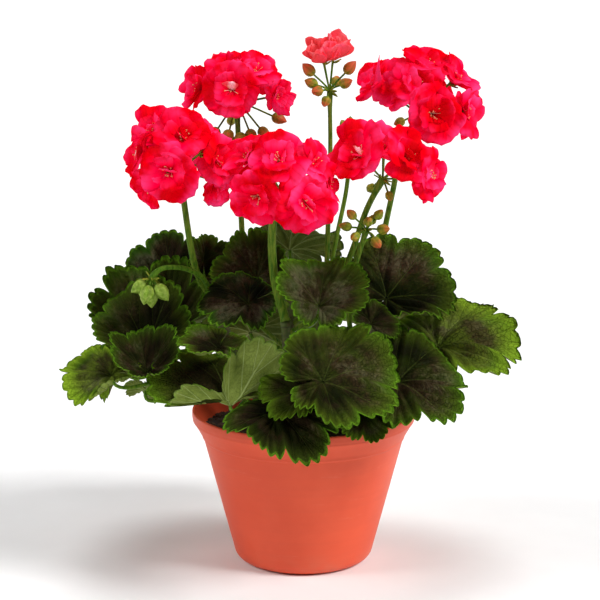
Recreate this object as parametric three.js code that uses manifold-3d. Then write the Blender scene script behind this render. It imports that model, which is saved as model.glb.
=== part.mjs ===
// Potted zonal geranium, in millimetres, +Z up.
// The origin is the centre of the pot's flat foot, and the plant's best side faces -Y.
// A thin tapered pot holds compost, in which one branching stem stands.
// Every leaf is one piece with its stalk, and every flower head has a green stalk and a cluster of petals.
import * as THREE from "three";
import { mergeVertices } from "three/addons/utils/BufferGeometryUtils.js";
import Module from "manifold-3d";

const wasm = await Module();
wasm.setup();

// Driving dimensions
const FIT_GAP = 0.35;
const GOLDEN_ANGLE = 137.508;

const POT = {
  footRadius: 36,
  cornerRadius: 8,
  wallStartRadius: 44.2,
  bandHeight: 79.9,
  bandRadius: 63.1,
  ridgeHeight: 91,
  ridgeRadius: 69.4,
  height: 97,
  lipRadius: 70,
  wall: 1.7,
  floor: 2.2,
  bead: 0.5,
  sides: 28,
};
const DRAIN_HOLES = { count: 6, radius: 4, circle: 24, sides: 8 };
const SOIL = { top: 85, lump: 1.1 };

const STEM = { footRadius: 5.2, tipRadius: 3, sides: 5, segments: 5 };

// Leaf outline: lobes round the blade, half the slit at the leaf stalk in degrees, the depth of the cuts
// between lobes, and how much shorter the lobes beside the slit are
const LEAF = { lobes: 7, slit: 10, lobeDepth: 0.17, basalShrink: 0.42, innerRing: 0.55, thickness: 0.8 };

// Leaf surface, in units of the leaf's radius: a funnel at the leaf stalk, a drooping rim, waves, and
// pleats that rise between the lobes
const LEAF_FORM = {
  funnel: 0.16,
  funnelReach: 0.2,
  droop: 0.1,
  ruffle: 0.12,
  pleat: 0.07,
  foldWidth: 0.1,
};

// Leaf stalk: how steeply it leaves the stem, its two bends as shares of its span,
// and how far from the slit towards the rim it joins the blade
const PETIOLE = {
  rootRadius: 1.7,
  tipRadius: 1.25,
  steepness: 0.75,
  leave: 0.33,
  arrive: 0.3,
  joint: 0.2,
  sides: 3,
  segments: 3,
};

// Flower stalks spread from a twenty-sided knot, wider than the stalk below it, and a bud is widest
// at a share of its length
const KNOT = { width: 1.25, height: 0.851 };
const STALK = { sides: 5, segments: 6 };
const PEDICEL = { start: 1.2, rootRadius: 0.65, tipRadius: 1.5 };
const BUD = { sides: 3, widestAt: 0.4, width: 0.3, tipWidth: 0.08 };

// Every floret has broad petals, notched by the share cut, and a small inner cup, and leans a little
// to the light. A floret of openness 1.15 would be flat.
const COROLLA = {
  petals: 5,
  thickness: 0.8,
  cut: 0.26,
  flat: 1.15,
  depth: 0.75,
  cup: 0.5,
  cupRise: 0.6,
  lip: 0.2,
};
const SUNWARD = [0, -0.35, 0.1];

const COLOURS = {
  terracotta: 0xd8543a,
  compost: 0x2b1c12,
  stem: 0x6b4a2c,
  leaf: 0x35451c,
  stalk: 0x6f8a26,
  petal: 0xf01235,
};

// Stem branches, from inside the trunk to the growing tip
const BRANCHES = [
  { name: "middle", points: [[0, 0, 55], [1, 1, 95], [5, 2, 128], [13, 1, 154]] },
  { name: "left_front", points: [[0, 0, 84], [-22, -14, 102], [-38, -24, 124], [-46, -28, 142]] },
  { name: "left_back", points: [[0, 0, 90], [-28, 8, 114], [-48, 13, 140], [-57, 14, 164]] },
  { name: "right_front", points: [[0, 0, 84], [20, -18, 102], [33, -28, 122], [38, -32, 142]] },
  { name: "right_back", points: [[0, 0, 90], [24, 14, 112], [39, 22, 136], [46, 25, 160]] },
  { name: "front", points: [[0, 0, 78], [-6, -26, 104], [-9, -35, 134], [-11, -37, 162]] },
  { name: "back", points: [[0, 0, 86], [-4, 26, 108], [-9, 42, 134], [-10, 48, 158]] },
];

// Leaves: at is where the leaf stalk meets the blade, and radius is from there to the tip.
// face is the way the upper side looks (azimuth from the front towards the right, then height above level),
// tip turns the leaf's point from straight downhill towards the right, stem is the branch and its share,
// cup raises the rim, fold raises the two sides, trims shorten the blade towards directions by shares,
// and a bend is a direction, a start, an end and an angle.
const LEAVES = [
  { name: "front_big", at: [11, -85, 134.6], radius: 48, face: [8, 52], tip: 105, basal: 0.5,
    stem: [5, 0.62] },
  { name: "front_low_left", at: [3, -82, 128], radius: 30, face: [-12, 54], tip: -85, basal: 0.85,
    trims: [[-60, 0.55]], stem: [5, 0.5] },
  { name: "front_hanging", at: [-14, -81.5, 115.4], radius: 45, face: [-3, 53], tip: 34, basal: 0.4,
    trims: [[108, 0.8], [-160, 0.65], [-58, 0.28], [25, 0.1]], stem: [5, 0.3] },
  { name: "front_low_right", at: [36, -62, 111], radius: 22, face: [14, 42], tip: 10, stem: [3, 0.35] },
  { name: "right_low", at: [56, -52, 126], radius: 48, face: [22, 62], tip: 76, trims: [[-5, 0.12]],
    stem: [3, 0.6] },
  { name: "right_wide", at: [84, 4, 134], radius: 53, face: [-6, 67], tip: 100, trims: [[-95, 0.22]],
    stem: [4, 0.62] },
  { name: "right_fan", at: [52, 13, 164], radius: 47, face: [6, 41], tip: 140,
    bends: [[222, 0.1, 0.5, 46]], stem: [4, 0.93] },
  { name: "right_inner", at: [41, -25, 156], radius: 19, face: [15, 50], tip: 100, stem: [0, 0.7] },
  { name: "right_behind", at: [76, 46, 162], radius: 27, face: [40, 68], tip: 165, stem: [4, 0.8] },
  { name: "middle_saddle", at: [9, -38, 170], radius: 34, face: [10, 48], tip: 165, fold: 0.6,
    stem: [5, 0.9] },
  { name: "middle_left", at: [-34, -22, 168], radius: 32, face: [-5, 64], tip: -80, stem: [5, 0.8] },
  { name: "middle_bowl", at: [-51, -60, 149], radius: 26, face: [0, 72], tip: -30, cup: 0.15,
    trims: [[75, 0.45]], stem: [1, 0.93] },
  { name: "middle_dark", at: [-29, 16, 177], radius: 29, face: [-20, 32], tip: -140, cup: 0.2,
    stem: [6, 0.93] },
  { name: "middle_back", at: [-9, 45, 189], radius: 36, face: [180, 50], tip: -125, stem: [6, 0.98] },
  { name: "left_turned_up", at: [-43, -76, 119], radius: 55, face: [-6, 60], tip: -105, basal: 0.1,
    trims: [[45, 0.3], [92, 0.75], [-100, 0.45], [-150, 0.65]], bends: [[115, 0, 0.12, 125]],
    stem: [1, 0.5] },
  { name: "left_cup", at: [-94, -58, 134], radius: 25, face: [3, 62], tip: -170, cup: 0.28, fold: 0.4,
    stem: [1, 0.8] },
  { name: "left_tip", at: [-115, -59, 132], radius: 31, face: [-12, 60], tip: -95, trims: [[-100, 0.7]],
    bends: [[140, 0.3, 0.7, 120]], stem: [2, 0.48] },
  { name: "left_tall", at: [-96, -20, 139], radius: 43, face: [-4, 36], tip: -152, fold: 0.7, basal: 0.7,
    trims: [[60, 0.2], [115, 0.4]], stem: [2, 0.56] },
  { name: "left_hollow", at: [-90, 22, 138], radius: 46, face: [-6, 50], tip: -140, cup: 0.3, basal: 0.6,
    stem: [2, 0.77] },
  { name: "left_crest", at: [-85, 55, 163], radius: 38, face: [-8, 30], tip: -168, stem: [2, 0.9] },
  { name: "left_edge", at: [-112, 9, 117], radius: 23, face: [-85, 45], tip: 0, stem: [2, 0.66] },
  { name: "left_under", at: [-97, -30, 116], radius: 17, face: [170, 50], tip: 0, stem: [2, 0.38] },
  { name: "left_stalk_side", at: [-64, 33, 184], radius: 18, face: [25, 10], tip: 172, fold: 0.9,
    stem: [2, 0.95] },
  { name: "back_left_high", at: [-80, 80, 130], radius: 42, face: [-135, 50], tip: 0, stem: [6, 0.55] },
  { name: "back_left_low", at: [-35, 88, 125], radius: 44, face: [-160, 45], tip: 0, stem: [6, 0.45] },
  { name: "back_middle", at: [10, 90, 140], radius: 42, face: [175, 48], tip: 0, stem: [6, 0.65] },
  { name: "back_right", at: [60, 78, 129], radius: 41, face: [145, 45], tip: 0, stem: [4, 0.5] },
  { name: "back_right_side", at: [92, 58, 134], radius: 38, face: [115, 48], tip: 0, stem: [4, 0.7] },
  { name: "back_left_side", at: [-102, 44, 126], radius: 32, face: [-110, 45], tip: 0, stem: [2, 0.58] },
  { name: "back_top_left", at: [-28, 66, 165], radius: 31, face: [-170, 55], tip: 0, stem: [6, 0.88] },
  { name: "back_top_right", at: [35, 66, 162], radius: 36, face: [160, 55], tip: 0, stem: [6, 0.78] },
  { name: "back_foot", at: [2, 86, 104], radius: 36, face: [180, 35], tip: 0, stem: [6, 0.3] },
];

// Flower heads: hub is where the flower stalks spread, via is the stalk's way up from its branch.
// florets are azimuth, height, radius, reach and openness; buds are azimuth, height, reach and length.
const HEADS = [
  {
    name: "head_left",
    hub: [-75, -5, 254],
    stem: [2, 0.99],
    via: [[-66, -2, 184], [-73, -5, 226]],
    radius: [2.2, 1.8],
    florets: [
      [-11, -6, 18, 23, 0.6], [8, 42, 17, 22, 0.5], [-85, 12, 15, 22, 0.6], [-64, -34, 13, 22, 0.5],
      [88, 50, 13, 19, 0.5], [60, 6, 16, 23, 0.5], [78, -30, 14, 24, 0.5], [-75, 50, 14, 23, 0.5],
      [150, 5, 13, 23, 0.6], [-145, 15, 13, 23, 0.6],
    ],
    buds: [[30, -50, 12, 8], [-30, -62, 12, 8]],
  },
  {
    name: "head_top_left",
    hub: [-42, 45, 289],
    stem: [6, 0.99],
    via: [[-36, 51, 185], [-40, 46, 215], [-41, 45, 250]],
    radius: [2, 1.7],
    florets: [
      [-6, 14, 17.5, 21, 0.7], [62, 0, 11, 26, 0.4], [-76, 12, 14, 22, 0.6], [-30, 62, 14, 17, 0.6],
      [50, 44, 14, 20, 0.6], [150, 18, 14, 21, 0.6], [-132, 26, 14, 21, 0.6],
    ],
    buds: [
      [-25, -58, 20, 10], [12, -62, 21, 10], [45, -58, 20, 10], [-60, -50, 21, 10],
      [0, -80, 22, 10], [75, -48, 22, 10], [85, -22, 24, 10], [-165, -42, 17, 9],
    ],
  },
  {
    name: "head_front",
    hub: [-12, -35, 245],
    stem: [5, 0.99],
    via: [[-18, -29, 188], [-18, -32, 224]],
    radius: [2.8, 2.4],
    florets: [
      [-35, -10, 17, 24, 0.7], [29, -17, 18, 24, 0.7], [-6, 40, 17, 24, 0.7], [54, 32, 13, 24, 0.6],
      [-72, 38, 15, 24, 0.5], [88, 0, 11, 24, 0.5], [150, 25, 13, 23, 0.6], [-145, 20, 13, 23, 0.6],
    ],
    buds: [[-10, -50, 12, 8], [-150, -40, 12, 8]],
  },
  {
    name: "head_right",
    hub: [48, -15, 249],
    stem: [0, 0.78],
    via: [[16, -5, 156], [21, -8, 174], [31.5, -10, 204], [38.7, -13, 226]],
    radius: [2, 1.8],
    florets: [
      [-45, 32, 18.5, 21, 0.45], [42, 30, 17.5, 20, 0.45], [64, 0, 15.5, 27, 0.8], [0, 66, 13, 14, 0.4],
      [175, 25, 14, 21, 0.6],
    ],
    buds: [[20, -40, 11, 7], [-150, -30, 12, 8]],
  },
  {
    name: "head_top_right",
    hub: [73, 35, 282],
    stem: [4, 0.99],
    via: [[49, 43, 180], [52, 51, 200], [57, 45, 228], [63, 38, 260]],
    radius: [2, 1.7],
    florets: [
      [14, -2, 18, 24, 0.7], [76, -4, 17, 25, 0.6], [-40, 32, 16, 24, 0.6], [-92, 30, 16, 28, 0.5],
      [30, 74, 16, 25, 0.6], [88, 40, 14, 25, 0.5], [165, 12, 14, 23, 0.6], [-140, 28, 13, 23, 0.6],
      [-10, 42, 16, 23, 0.6],
    ],
    buds: [[-60, -15, 12, 8], [140, -35, 13, 8]],
  },
  {
    name: "head_opening",
    hub: [16, 10, 299],
    stem: [0, 0.99],
    via: [[14, 4, 175], [15, 8, 205], [16.5, 9, 255]],
    radius: [1.8, 1.3],
    florets: [[-60, 73, 12.5, 15, -0.6], [45, 80, 12.5, 16, -0.6]],
    buds: [
      [-74, 44, 14, 10], [85, 48, 14, 10], [-67, 22, 9, 9], [-40, 2, 8, 9],
      [62, 24, 8, 9], [-20, -40, 6, 8], [160, 20, 9, 9],
    ],
  },
  {
    name: "buds_middle",
    hub: [38, -24, 215],
    stem: [3, 0.75],
    via: [[28, -15, 158], [28, -12, 176], [34, -18, 200]],
    radius: [1.8, 1.5],
    florets: [],
    buds: [
      [-60, 44, 11, 8], [45, 46, 11, 8], [5, 35, 8, 8], [50, 8, 9, 9], [30, -28, 9, 9],
      [-35, -12, 9, 8], [-85, 10, 9, 8], [160, 20, 9, 8],
    ],
  },
  {
    name: "buds_nodding",
    hub: [-92, -34, 187],
    stem: [2, 0.84],
    via: [[-58, 2, 171], [-64, -14, 185], [-76, -26, 192], [-87, -32, 192]],
    radius: [1.7, 1.5],
    florets: [],
    buds: [
      [-90, -35, 4, 11], [-30, -60, 5, 12], [70, -50, 5, 12], [0, -85, 6, 12], [-130, -55, 5, 11],
      [150, -55, 5, 11],
    ],
  },
  {
    name: "buds_behind",
    hub: [29, 20, 266],
    stem: [0, 0.9],
    via: [[15, 11, 172], [20, 15, 200], [27, 18, 235]],
    radius: [1.6, 1.3],
    florets: [],
    buds: [[0, 80, 4, 9], [90, 30, 6, 8], [-150, 40, 6, 8], [170, -20, 6, 8]],
  },
];

// Small helpers
const vector = (p) => new THREE.Vector3(p[0], p[1], p[2]);
const radians = THREE.MathUtils.degToRad;
const lerp = THREE.MathUtils.lerp;

const solidOf = (geometry) => {
  const bare = geometry.index ? geometry.toNonIndexed() : geometry.clone();
  for (const name of Object.keys(bare.attributes)) {
    if (name !== "position") bare.deleteAttribute(name);
  }
  const merged = mergeVertices(bare, 1e-4);
  const made = new wasm.Mesh({
    numProp: 3,
    vertProperties: merged.attributes.position.array,
    triVerts: new Uint32Array(merged.index.array),
  });
  return new wasm.Manifold(made);
};

const geometryOf = (solid) => {
  const mesh = solid.getMesh();
  const geometry = new THREE.BufferGeometry();
  geometry.setAttribute("position", new THREE.BufferAttribute(mesh.vertProperties, 3));
  geometry.setIndex(new THREE.BufferAttribute(mesh.triVerts, 1));
  geometry.computeVertexNormals();
  return geometry;
};

const union = (solids) => solids.reduce((whole, next) => whole.add(next));

const largestBody = (solid) =>
  solid.decompose().reduce((best, body) => (body.volume() > best.volume() ? body : best));

const indexed = (points, triangles) => {
  const geometry = new THREE.BufferGeometry().setFromPoints(points);
  geometry.setIndex(triangles.flat());
  return geometry;
};

// A closed tube along a curve whose radius follows radiusAt(share of the way)
const taperedTube = (curve, segments, sides, radiusAt) => {
  const frames = curve.computeFrenetFrames(segments, false);
  const points = [];
  const triangles = [];
  for (let i = 0; i <= segments; i++) {
    const centre = curve.getPointAt(i / segments);
    const radius = radiusAt(i / segments);
    for (let j = 0; j < sides; j++) {
      const angle = (2 * Math.PI * j) / sides;
      const outward = frames.normals[i].clone().multiplyScalar(Math.cos(angle));
      outward.addScaledVector(frames.binormals[i], Math.sin(angle));
      points.push(centre.clone().addScaledVector(outward, radius));
    }
  }
  for (let i = 0; i < segments; i++) {
    for (let j = 0; j < sides; j++) {
      const a = i * sides + j;
      const b = i * sides + ((j + 1) % sides);
      triangles.push([a, b, b + sides], [a, b + sides, a + sides]);
    }
  }
  const last = segments * sides;
  for (let j = 1; j < sides - 1; j++) {
    triangles.push([0, j + 1, j], [last, last + j, last + j + 1]);
  }
  return solidOf(indexed(points, triangles));
};

// A blade of even thickness on a curved middle surface; rim lists the outline's points in order
const thinBlade = (middle, faces, rim, thickness) => {
  const surface = indexed(middle, faces);
  surface.computeVertexNormals();
  const normals = surface.attributes.normal;
  const count = middle.length;
  const points = [];
  for (const side of [0.5, -0.5]) {
    middle.forEach((p, i) => {
      const normal = new THREE.Vector3().fromBufferAttribute(normals, i);
      points.push(p.clone().addScaledVector(normal, side * thickness));
    });
  }
  const triangles = [];
  for (const [a, b, c] of faces) {
    triangles.push([a, b, c], [a + count, c + count, b + count]);
  }
  rim.forEach((a, i) => {
    const b = rim[(i + 1) % rim.length];
    triangles.push([b, a, a + count], [b, a + count, b + count]);
  });
  return solidOf(indexed(points, triangles));
};

// Pot and compost
const potOuterRadius = (z) =>
  lerp(POT.wallStartRadius, POT.bandRadius, (z - POT.cornerRadius) / (POT.bandHeight - POT.cornerRadius));

const spun = (profile, sides) => {
  const geometry = new THREE.LatheGeometry(profile, sides);
  geometry.rotateX(Math.PI / 2);
  return geometry;
};

const makePot = () => {
  const outline = new THREE.Path();
  outline.moveTo(0, 0);
  outline.lineTo(POT.footRadius, 0);
  outline.quadraticCurveTo(POT.wallStartRadius - 1.2, 0.6, POT.wallStartRadius, POT.cornerRadius);
  outline.lineTo(POT.bandRadius, POT.bandHeight);
  outline.lineTo(POT.bandRadius + POT.bead, POT.bandHeight + POT.bead);
  outline.lineTo(POT.ridgeRadius, POT.ridgeHeight);
  outline.lineTo(POT.lipRadius, POT.ridgeHeight + POT.bead);
  outline.lineTo(POT.lipRadius, POT.height - 1);
  outline.lineTo(POT.lipRadius - 1, POT.height);
  outline.lineTo(POT.lipRadius - POT.wall, POT.height - 0.5);
  outline.lineTo(POT.ridgeRadius - POT.wall, POT.ridgeHeight);
  outline.lineTo(POT.bandRadius - POT.wall, POT.bandHeight);
  outline.lineTo(potOuterRadius(POT.cornerRadius) - POT.wall, POT.cornerRadius);
  outline.lineTo(POT.footRadius, POT.floor);
  outline.lineTo(0, POT.floor);
  const curveSteps = 3;
  let pot = solidOf(spun(outline.getPoints(curveSteps), POT.sides));
  for (let i = 0; i < DRAIN_HOLES.count; i++) {
    const angle = (2 * Math.PI * (i + 0.5)) / DRAIN_HOLES.count;
    const drill = new THREE.CylinderGeometry(
      DRAIN_HOLES.radius,
      DRAIN_HOLES.radius,
      POT.floor * 3,
      DRAIN_HOLES.sides,
    );
    drill.rotateX(Math.PI / 2);
    drill.translate(DRAIN_HOLES.circle * Math.cos(angle), DRAIN_HOLES.circle * Math.sin(angle), 0);
    pot = pot.subtract(solidOf(drill));
  }
  return pot;
};

const soilLump = (x, y) =>
  SOIL.lump * (Math.sin(0.31 * x + 0.9) * Math.cos(0.27 * y) + 0.6 * Math.sin(0.53 * x - 0.47 * y));

const makeSoil = () => {
  const side = (z) => potOuterRadius(z) - POT.wall - FIT_GAP;
  const slope = (POT.ridgeRadius - POT.bandRadius) / (POT.ridgeHeight - POT.bandHeight);
  const edge = POT.bandRadius - POT.wall - FIT_GAP + slope * (SOIL.top - 1 - POT.bandHeight);
  const bottom = POT.floor + FIT_GAP;
  const outline = [
    [0, bottom],
    [POT.footRadius - 2, bottom],
    [side(POT.cornerRadius + 1), POT.cornerRadius + 1],
    [side(POT.bandHeight), POT.bandHeight],
    [edge, SOIL.top - 1],
    [edge * 0.72, SOIL.top],
    [edge * 0.4, SOIL.top + 0.5],
    [0, SOIL.top + 1],
  ];
  const geometry = spun(outline.map(([r, z]) => new THREE.Vector2(r, z)), POT.sides);
  const position = geometry.attributes.position;
  for (let i = 0; i < position.count; i++) {
    const x = position.getX(i);
    const y = position.getY(i);
    if (position.getZ(i) > SOIL.top - 0.5) {
      position.setZ(i, position.getZ(i) + soilLump(x, y));
    }
  }
  return solidOf(geometry);
};

// Stem
const branchCurves = BRANCHES.map(({ points }) => new THREE.CatmullRomCurve3(points.map(vector)));

const stemRadius = (t) => lerp(STEM.footRadius, STEM.tipRadius, t);

const makeStem = (extra) => {
  const radiusAt = (t) => stemRadius(t) + extra;
  return union(branchCurves.map((curve) => taperedTube(curve, STEM.segments, STEM.sides, radiusAt)));
};

// Leaves
const lobeSide = (phi) => {
  const end = Math.PI - radians(LEAF.slit);
  return Math.abs(2 * ((((phi + end) / (2 * end)) * LEAF.lobes) % 1) - 1);
};

const outlineRadius = (phi, { basal = LEAF.basalShrink, trims = [] }) => {
  const lobe = 1 - LEAF.lobeDepth * lobeSide(phi) ** 4;
  const towardsSlit = 1 - basal * ((1 - Math.cos(phi)) / 2) ** 1.5;
  let trimmed = 1;
  for (const [direction, share] of trims) {
    trimmed *= 1 - share * Math.max(0, Math.cos(phi - radians(direction))) ** 8;
  }
  return lobe * towardsSlit * trimmed;
};

// The leaf's middle surface, in units of its radius: x to the tip, z to the upper side
const leafForm = (leaf, index, x, y, side) => {
  const { cup = 0, fold = 0, bends = [] } = leaf;
  const rho = Math.hypot(x, y);
  const phi = Math.atan2(y, x);
  const phase = radians(index * GOLDEN_ANGLE);
  const funnel = (LEAF_FORM.funnel * rho) / (rho + LEAF_FORM.funnelReach);
  const wave = Math.sin(3 * phi + phase) + 0.6 * rho * Math.sin(5 * phi - phase);
  const waves = LEAF_FORM.ruffle * rho ** 2 * wave;
  const pleats = LEAF_FORM.pleat * rho * side ** 1.5;
  const sides = fold * (Math.hypot(y, LEAF_FORM.foldWidth) - LEAF_FORM.foldWidth);
  const bowl = (2 * cup - LEAF_FORM.droop) * rho ** 2;
  const p = new THREE.Vector3(x, y, funnel + waves + pleats + sides + bowl);
  for (const [direction, start, stop, angle] of bends) {
    const c = Math.cos(radians(direction));
    const s = Math.sin(radians(direction));
    const reach = p.x * c + p.y * s - start;
    if (reach <= 0) continue;
    const curvature = radians(angle) / (stop - start);
    const curved = Math.min(reach, stop - start);
    const turned = curvature * curved;
    const straight = reach - curved;
    const sine = Math.sin(turned);
    const cosine = Math.cos(turned);
    const forward = sine / curvature + straight * cosine - p.z * sine;
    const raised = (1 - cosine) / curvature + straight * sine + p.z * cosine;
    p.x += c * (forward - reach);
    p.y += s * (forward - reach);
    p.z = raised;
  }
  return p;
};

// Axes of a leaf: its point, its left side and the way its upper side looks
const leafAxes = ({ face, tip }) => {
  const [azimuth, height] = face.map(radians);
  const turn = radians(tip);
  const normal = new THREE.Vector3(
    Math.sin(azimuth) * Math.cos(height),
    -Math.cos(azimuth) * Math.cos(height),
    Math.sin(height),
  );
  const downhill = new THREE.Vector3(
    Math.sin(azimuth) * Math.sin(height),
    -Math.cos(azimuth) * Math.sin(height),
    -Math.cos(height),
  );
  const across = normal.clone().cross(downhill);
  const point = downhill.multiplyScalar(Math.cos(turn)).addScaledVector(across, Math.sin(turn));
  return { point, side: normal.clone().cross(point), normal };
};

// Each lobe of a blade has three points on the rim and one on the ring inside it
const makeBlade = (leaf, index) => {
  const inner = LEAF.lobes;
  const outer = LEAF.lobes * 3;
  const end = Math.PI - radians(LEAF.slit);
  const { point, side, normal } = leafAxes(leaf);
  const frame = new THREE.Matrix4().makeBasis(point, side, normal).setPosition(vector(leaf.at));
  const placed = (rho, phi) => {
    const r = rho * outlineRadius(phi, leaf);
    const p = leafForm(leaf, index, r * Math.cos(phi), r * Math.sin(phi), lobeSide(phi));
    return p.multiplyScalar(leaf.radius).applyMatrix4(frame);
  };
  const middle = [placed(0, 0)];
  for (let i = 0; i <= inner; i++) {
    middle.push(placed(LEAF.innerRing, lerp(-end, end, i / inner)));
  }
  for (let i = 0; i <= outer; i++) {
    middle.push(placed(1, lerp(-end, end, i / outer)));
  }
  const faces = [];
  for (let lobe = 0; lobe < LEAF.lobes; lobe++) {
    const a = 1 + lobe;
    const b = inner + 2 + 3 * lobe;
    faces.push([0, a, a + 1], [a, b, b + 1], [a, b + 1, a + 1]);
    faces.push([a + 1, b + 1, b + 2], [a + 1, b + 2, b + 3]);
  }
  const rim = [0, 1];
  for (let i = 0; i <= outer; i++) rim.push(inner + 2 + i);
  rim.push(inner + 1);
  const tipFace = faces[5 * Math.floor(LEAF.lobes / 2)].slice(1);
  const tipward = middle[tipFace[0]].clone().lerp(middle[tipFace[1]], 0.5);
  const joint = middle[0].clone().lerp(tipward, PETIOLE.joint);
  return { blade: thinBlade(middle, faces, rim, LEAF.thickness), joint };
};

// The leaf stalk starts just clear of the stem and ends in the blade, a little towards the point
const petioleCurve = (leaf, joint) => {
  const { normal } = leafAxes(leaf);
  const [branch, share] = leaf.stem;
  const axis = branchCurves[branch].getPointAt(share);
  const span = axis.distanceTo(joint);
  const outward = new THREE.Vector3(joint.x - axis.x, joint.y - axis.y, 0).normalize();
  outward.z = PETIOLE.steepness;
  outward.normalize();
  const root = axis.clone().addScaledVector(outward, stemRadius(share) + FIT_GAP);
  const leave = root.clone().addScaledVector(outward, PETIOLE.leave * span);
  const arrive = joint.clone().addScaledVector(normal, -PETIOLE.arrive * span);
  return new THREE.CubicBezierCurve3(root, leave, arrive, joint);
};

const makeLeaf = (leaf, index) => {
  const { blade, joint } = makeBlade(leaf, index);
  const radiusAt = (t) => lerp(PETIOLE.rootRadius, PETIOLE.tipRadius, t);
  const petiole = taperedTube(petioleCurve(leaf, joint), PETIOLE.segments, PETIOLE.sides, radiusAt);
  return blade.add(petiole);
};

// Flower heads
const directionOf = (azimuth, height) =>
  new THREE.Vector3(
    Math.sin(radians(azimuth)) * Math.cos(radians(height)),
    -Math.cos(radians(azimuth)) * Math.cos(radians(height)),
    Math.sin(radians(height)),
  );

// One closed surface of rings: up the flower stalk, out under the petals, back over them,
// then up, round and down into the inner cup. A petal has its notch and two points on the rim.
const makeFloret = (hub, [azimuth, height, radius, reach, open], index) => {
  const away = directionOf(azimuth, height);
  const axis = away.clone().add(vector(SUNWARD)).normalize();
  const across = new THREE.Vector3(0, 0, 1).cross(axis).normalize();
  const up = axis.clone().cross(across);
  const heart = hub.clone().addScaledVector(away, reach);
  const turn = radians(index * GOLDEN_ANGLE);
  const rise = COROLLA.flat - open;
  const half = (COROLLA.thickness / 2) * Math.hypot(1, rise);
  const petals = COROLLA.petals;
  const step = (2 * Math.PI) / petals;
  const points = [];
  const addPoint = (origin, r, angle, z) => {
    const p = origin.clone().addScaledVector(across, r * Math.cos(turn + angle));
    points.push(p.addScaledVector(up, r * Math.sin(turn + angle)).addScaledVector(axis, z));
  };
  const addRing = (origin, r, z) => {
    for (let i = 0; i < petals; i++) addPoint(origin, r, (i + 0.5) * step, z);
  };
  const addRim = (z) => {
    for (let i = 0; i < 3 * petals; i++) {
      const reached = i % 3 === 0 ? 1 - COROLLA.cut : 1;
      addPoint(heart, reached * radius, (i * step) / 3, COROLLA.depth * rise * radius + z);
    }
  };
  const cupRadius = COROLLA.cup * radius;
  const cupHeight = (rise + COROLLA.cupRise) * cupRadius;
  addRing(hub.clone().addScaledVector(away, PEDICEL.start), PEDICEL.rootRadius, 0);
  addRing(heart, PEDICEL.tipRadius, -half);
  addRim(-half);
  addRim(half);
  addRing(heart, PEDICEL.tipRadius, half);
  addRing(heart, cupRadius, cupHeight);
  addRing(heart, cupRadius - COROLLA.lip, cupHeight + 2 * half);
  addPoint(heart, 0, 0, 3 * half);

  const triangles = [[0, 2, 1], [0, 3, 2], [0, 4, 3]];
  const join = (a, b, count) => {
    for (let j = 0; j < count; j++) {
      const next = (j + 1) % count;
      triangles.push([a + j, a + next, b + next], [a + j, b + next, b + j]);
    }
  };
  const widen = (ring, rim, outward) => {
    for (let i = 0; i < petals; i++) {
      const here = ring + i;
      const next = ring + ((i + 1) % petals);
      const at = (k) => rim + ((3 * i + k) % (3 * petals));
      const fan = [[here, at(1), at(0)], [here, at(2), at(1)], [here, at(3), at(2)], [here, next, at(3)]];
      triangles.push(...fan.map((t) => (outward ? t : t.reverse())));
    }
  };
  const rings = [0, 1, 2, 5, 8, 9, 10, 11].map((n) => n * petals);
  join(rings[0], rings[1], petals);
  widen(rings[1], rings[2], true);
  join(rings[2], rings[3], 3 * petals);
  widen(rings[4], rings[3], false);
  join(rings[4], rings[5], petals);
  join(rings[5], rings[6], petals);
  for (let i = 0; i < petals; i++) {
    triangles.push([rings[6] + i, rings[6] + ((i + 1) % petals), rings[7]]);
  }
  return solidOf(indexed(points, triangles));
};

const makeKnot = (centre, radius) => {
  const knot = new THREE.IcosahedronGeometry(radius, 0);
  knot.translate(centre.x, centre.y, centre.z);
  return solidOf(knot);
};

const makeFlorets = ({ hub, florets, radius }) => {
  const centre = vector(hub);
  const knot = makeKnot(centre, radius[1] * KNOT.width);
  return union([knot, ...florets.map((floret, i) => makeFloret(centre, floret, i))]);
};

const makeBud = (hub, axis, reach, length) => {
  const stations = [PEDICEL.start, reach, reach + BUD.widestAt * length, reach + length];
  const radii = [PEDICEL.rootRadius, PEDICEL.rootRadius, BUD.width * length, BUD.tipWidth * length];
  const way = new THREE.LineCurve3(hub, hub.clone().addScaledVector(axis, reach + length));
  way.getPointAt = (t) => hub.clone().addScaledVector(axis, stations[Math.round(3 * t)]);
  return taperedTube(way, 3, BUD.sides, (t) => radii[Math.round(3 * t)]);
};

const makeStalk = (head) => {
  const top = vector(head.hub);
  if (head.florets.length) top.z -= 2 * KNOT.height * KNOT.width * head.radius[1] + FIT_GAP;
  const [branch, share] = head.stem;
  const root = branchCurves[branch].getPointAt(share);
  const way = new THREE.CatmullRomCurve3([root, ...head.via.map(vector), top]);
  const [low, high] = head.radius;
  const stalk = taperedTube(way, STALK.segments, STALK.sides, (t) => lerp(low, high, t));
  const pieces = [stalk, makeKnot(top, high * KNOT.width)];
  head.buds.forEach(([azimuth, height, reach, length]) => {
    pieces.push(makeBud(top, directionOf(azimuth, height), reach, length));
  });
  return union(pieces);
};

// Assembly
const plant = new THREE.Group();

const finishes = {
  pot: new THREE.MeshStandardMaterial({ color: COLOURS.terracotta, roughness: 0.5, metalness: 0 }),
  soil: new THREE.MeshStandardMaterial({ color: COLOURS.compost, roughness: 1, metalness: 0 }),
  stem: new THREE.MeshStandardMaterial({ color: COLOURS.stem, roughness: 0.8, metalness: 0 }),
  leaf: new THREE.MeshStandardMaterial({ color: COLOURS.leaf, roughness: 0.6, metalness: 0 }),
  stalk: new THREE.MeshStandardMaterial({ color: COLOURS.stalk, roughness: 0.6, metalness: 0 }),
  petal: new THREE.MeshStandardMaterial({ color: COLOURS.petal, roughness: 0.6, metalness: 0 }),
};

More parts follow.
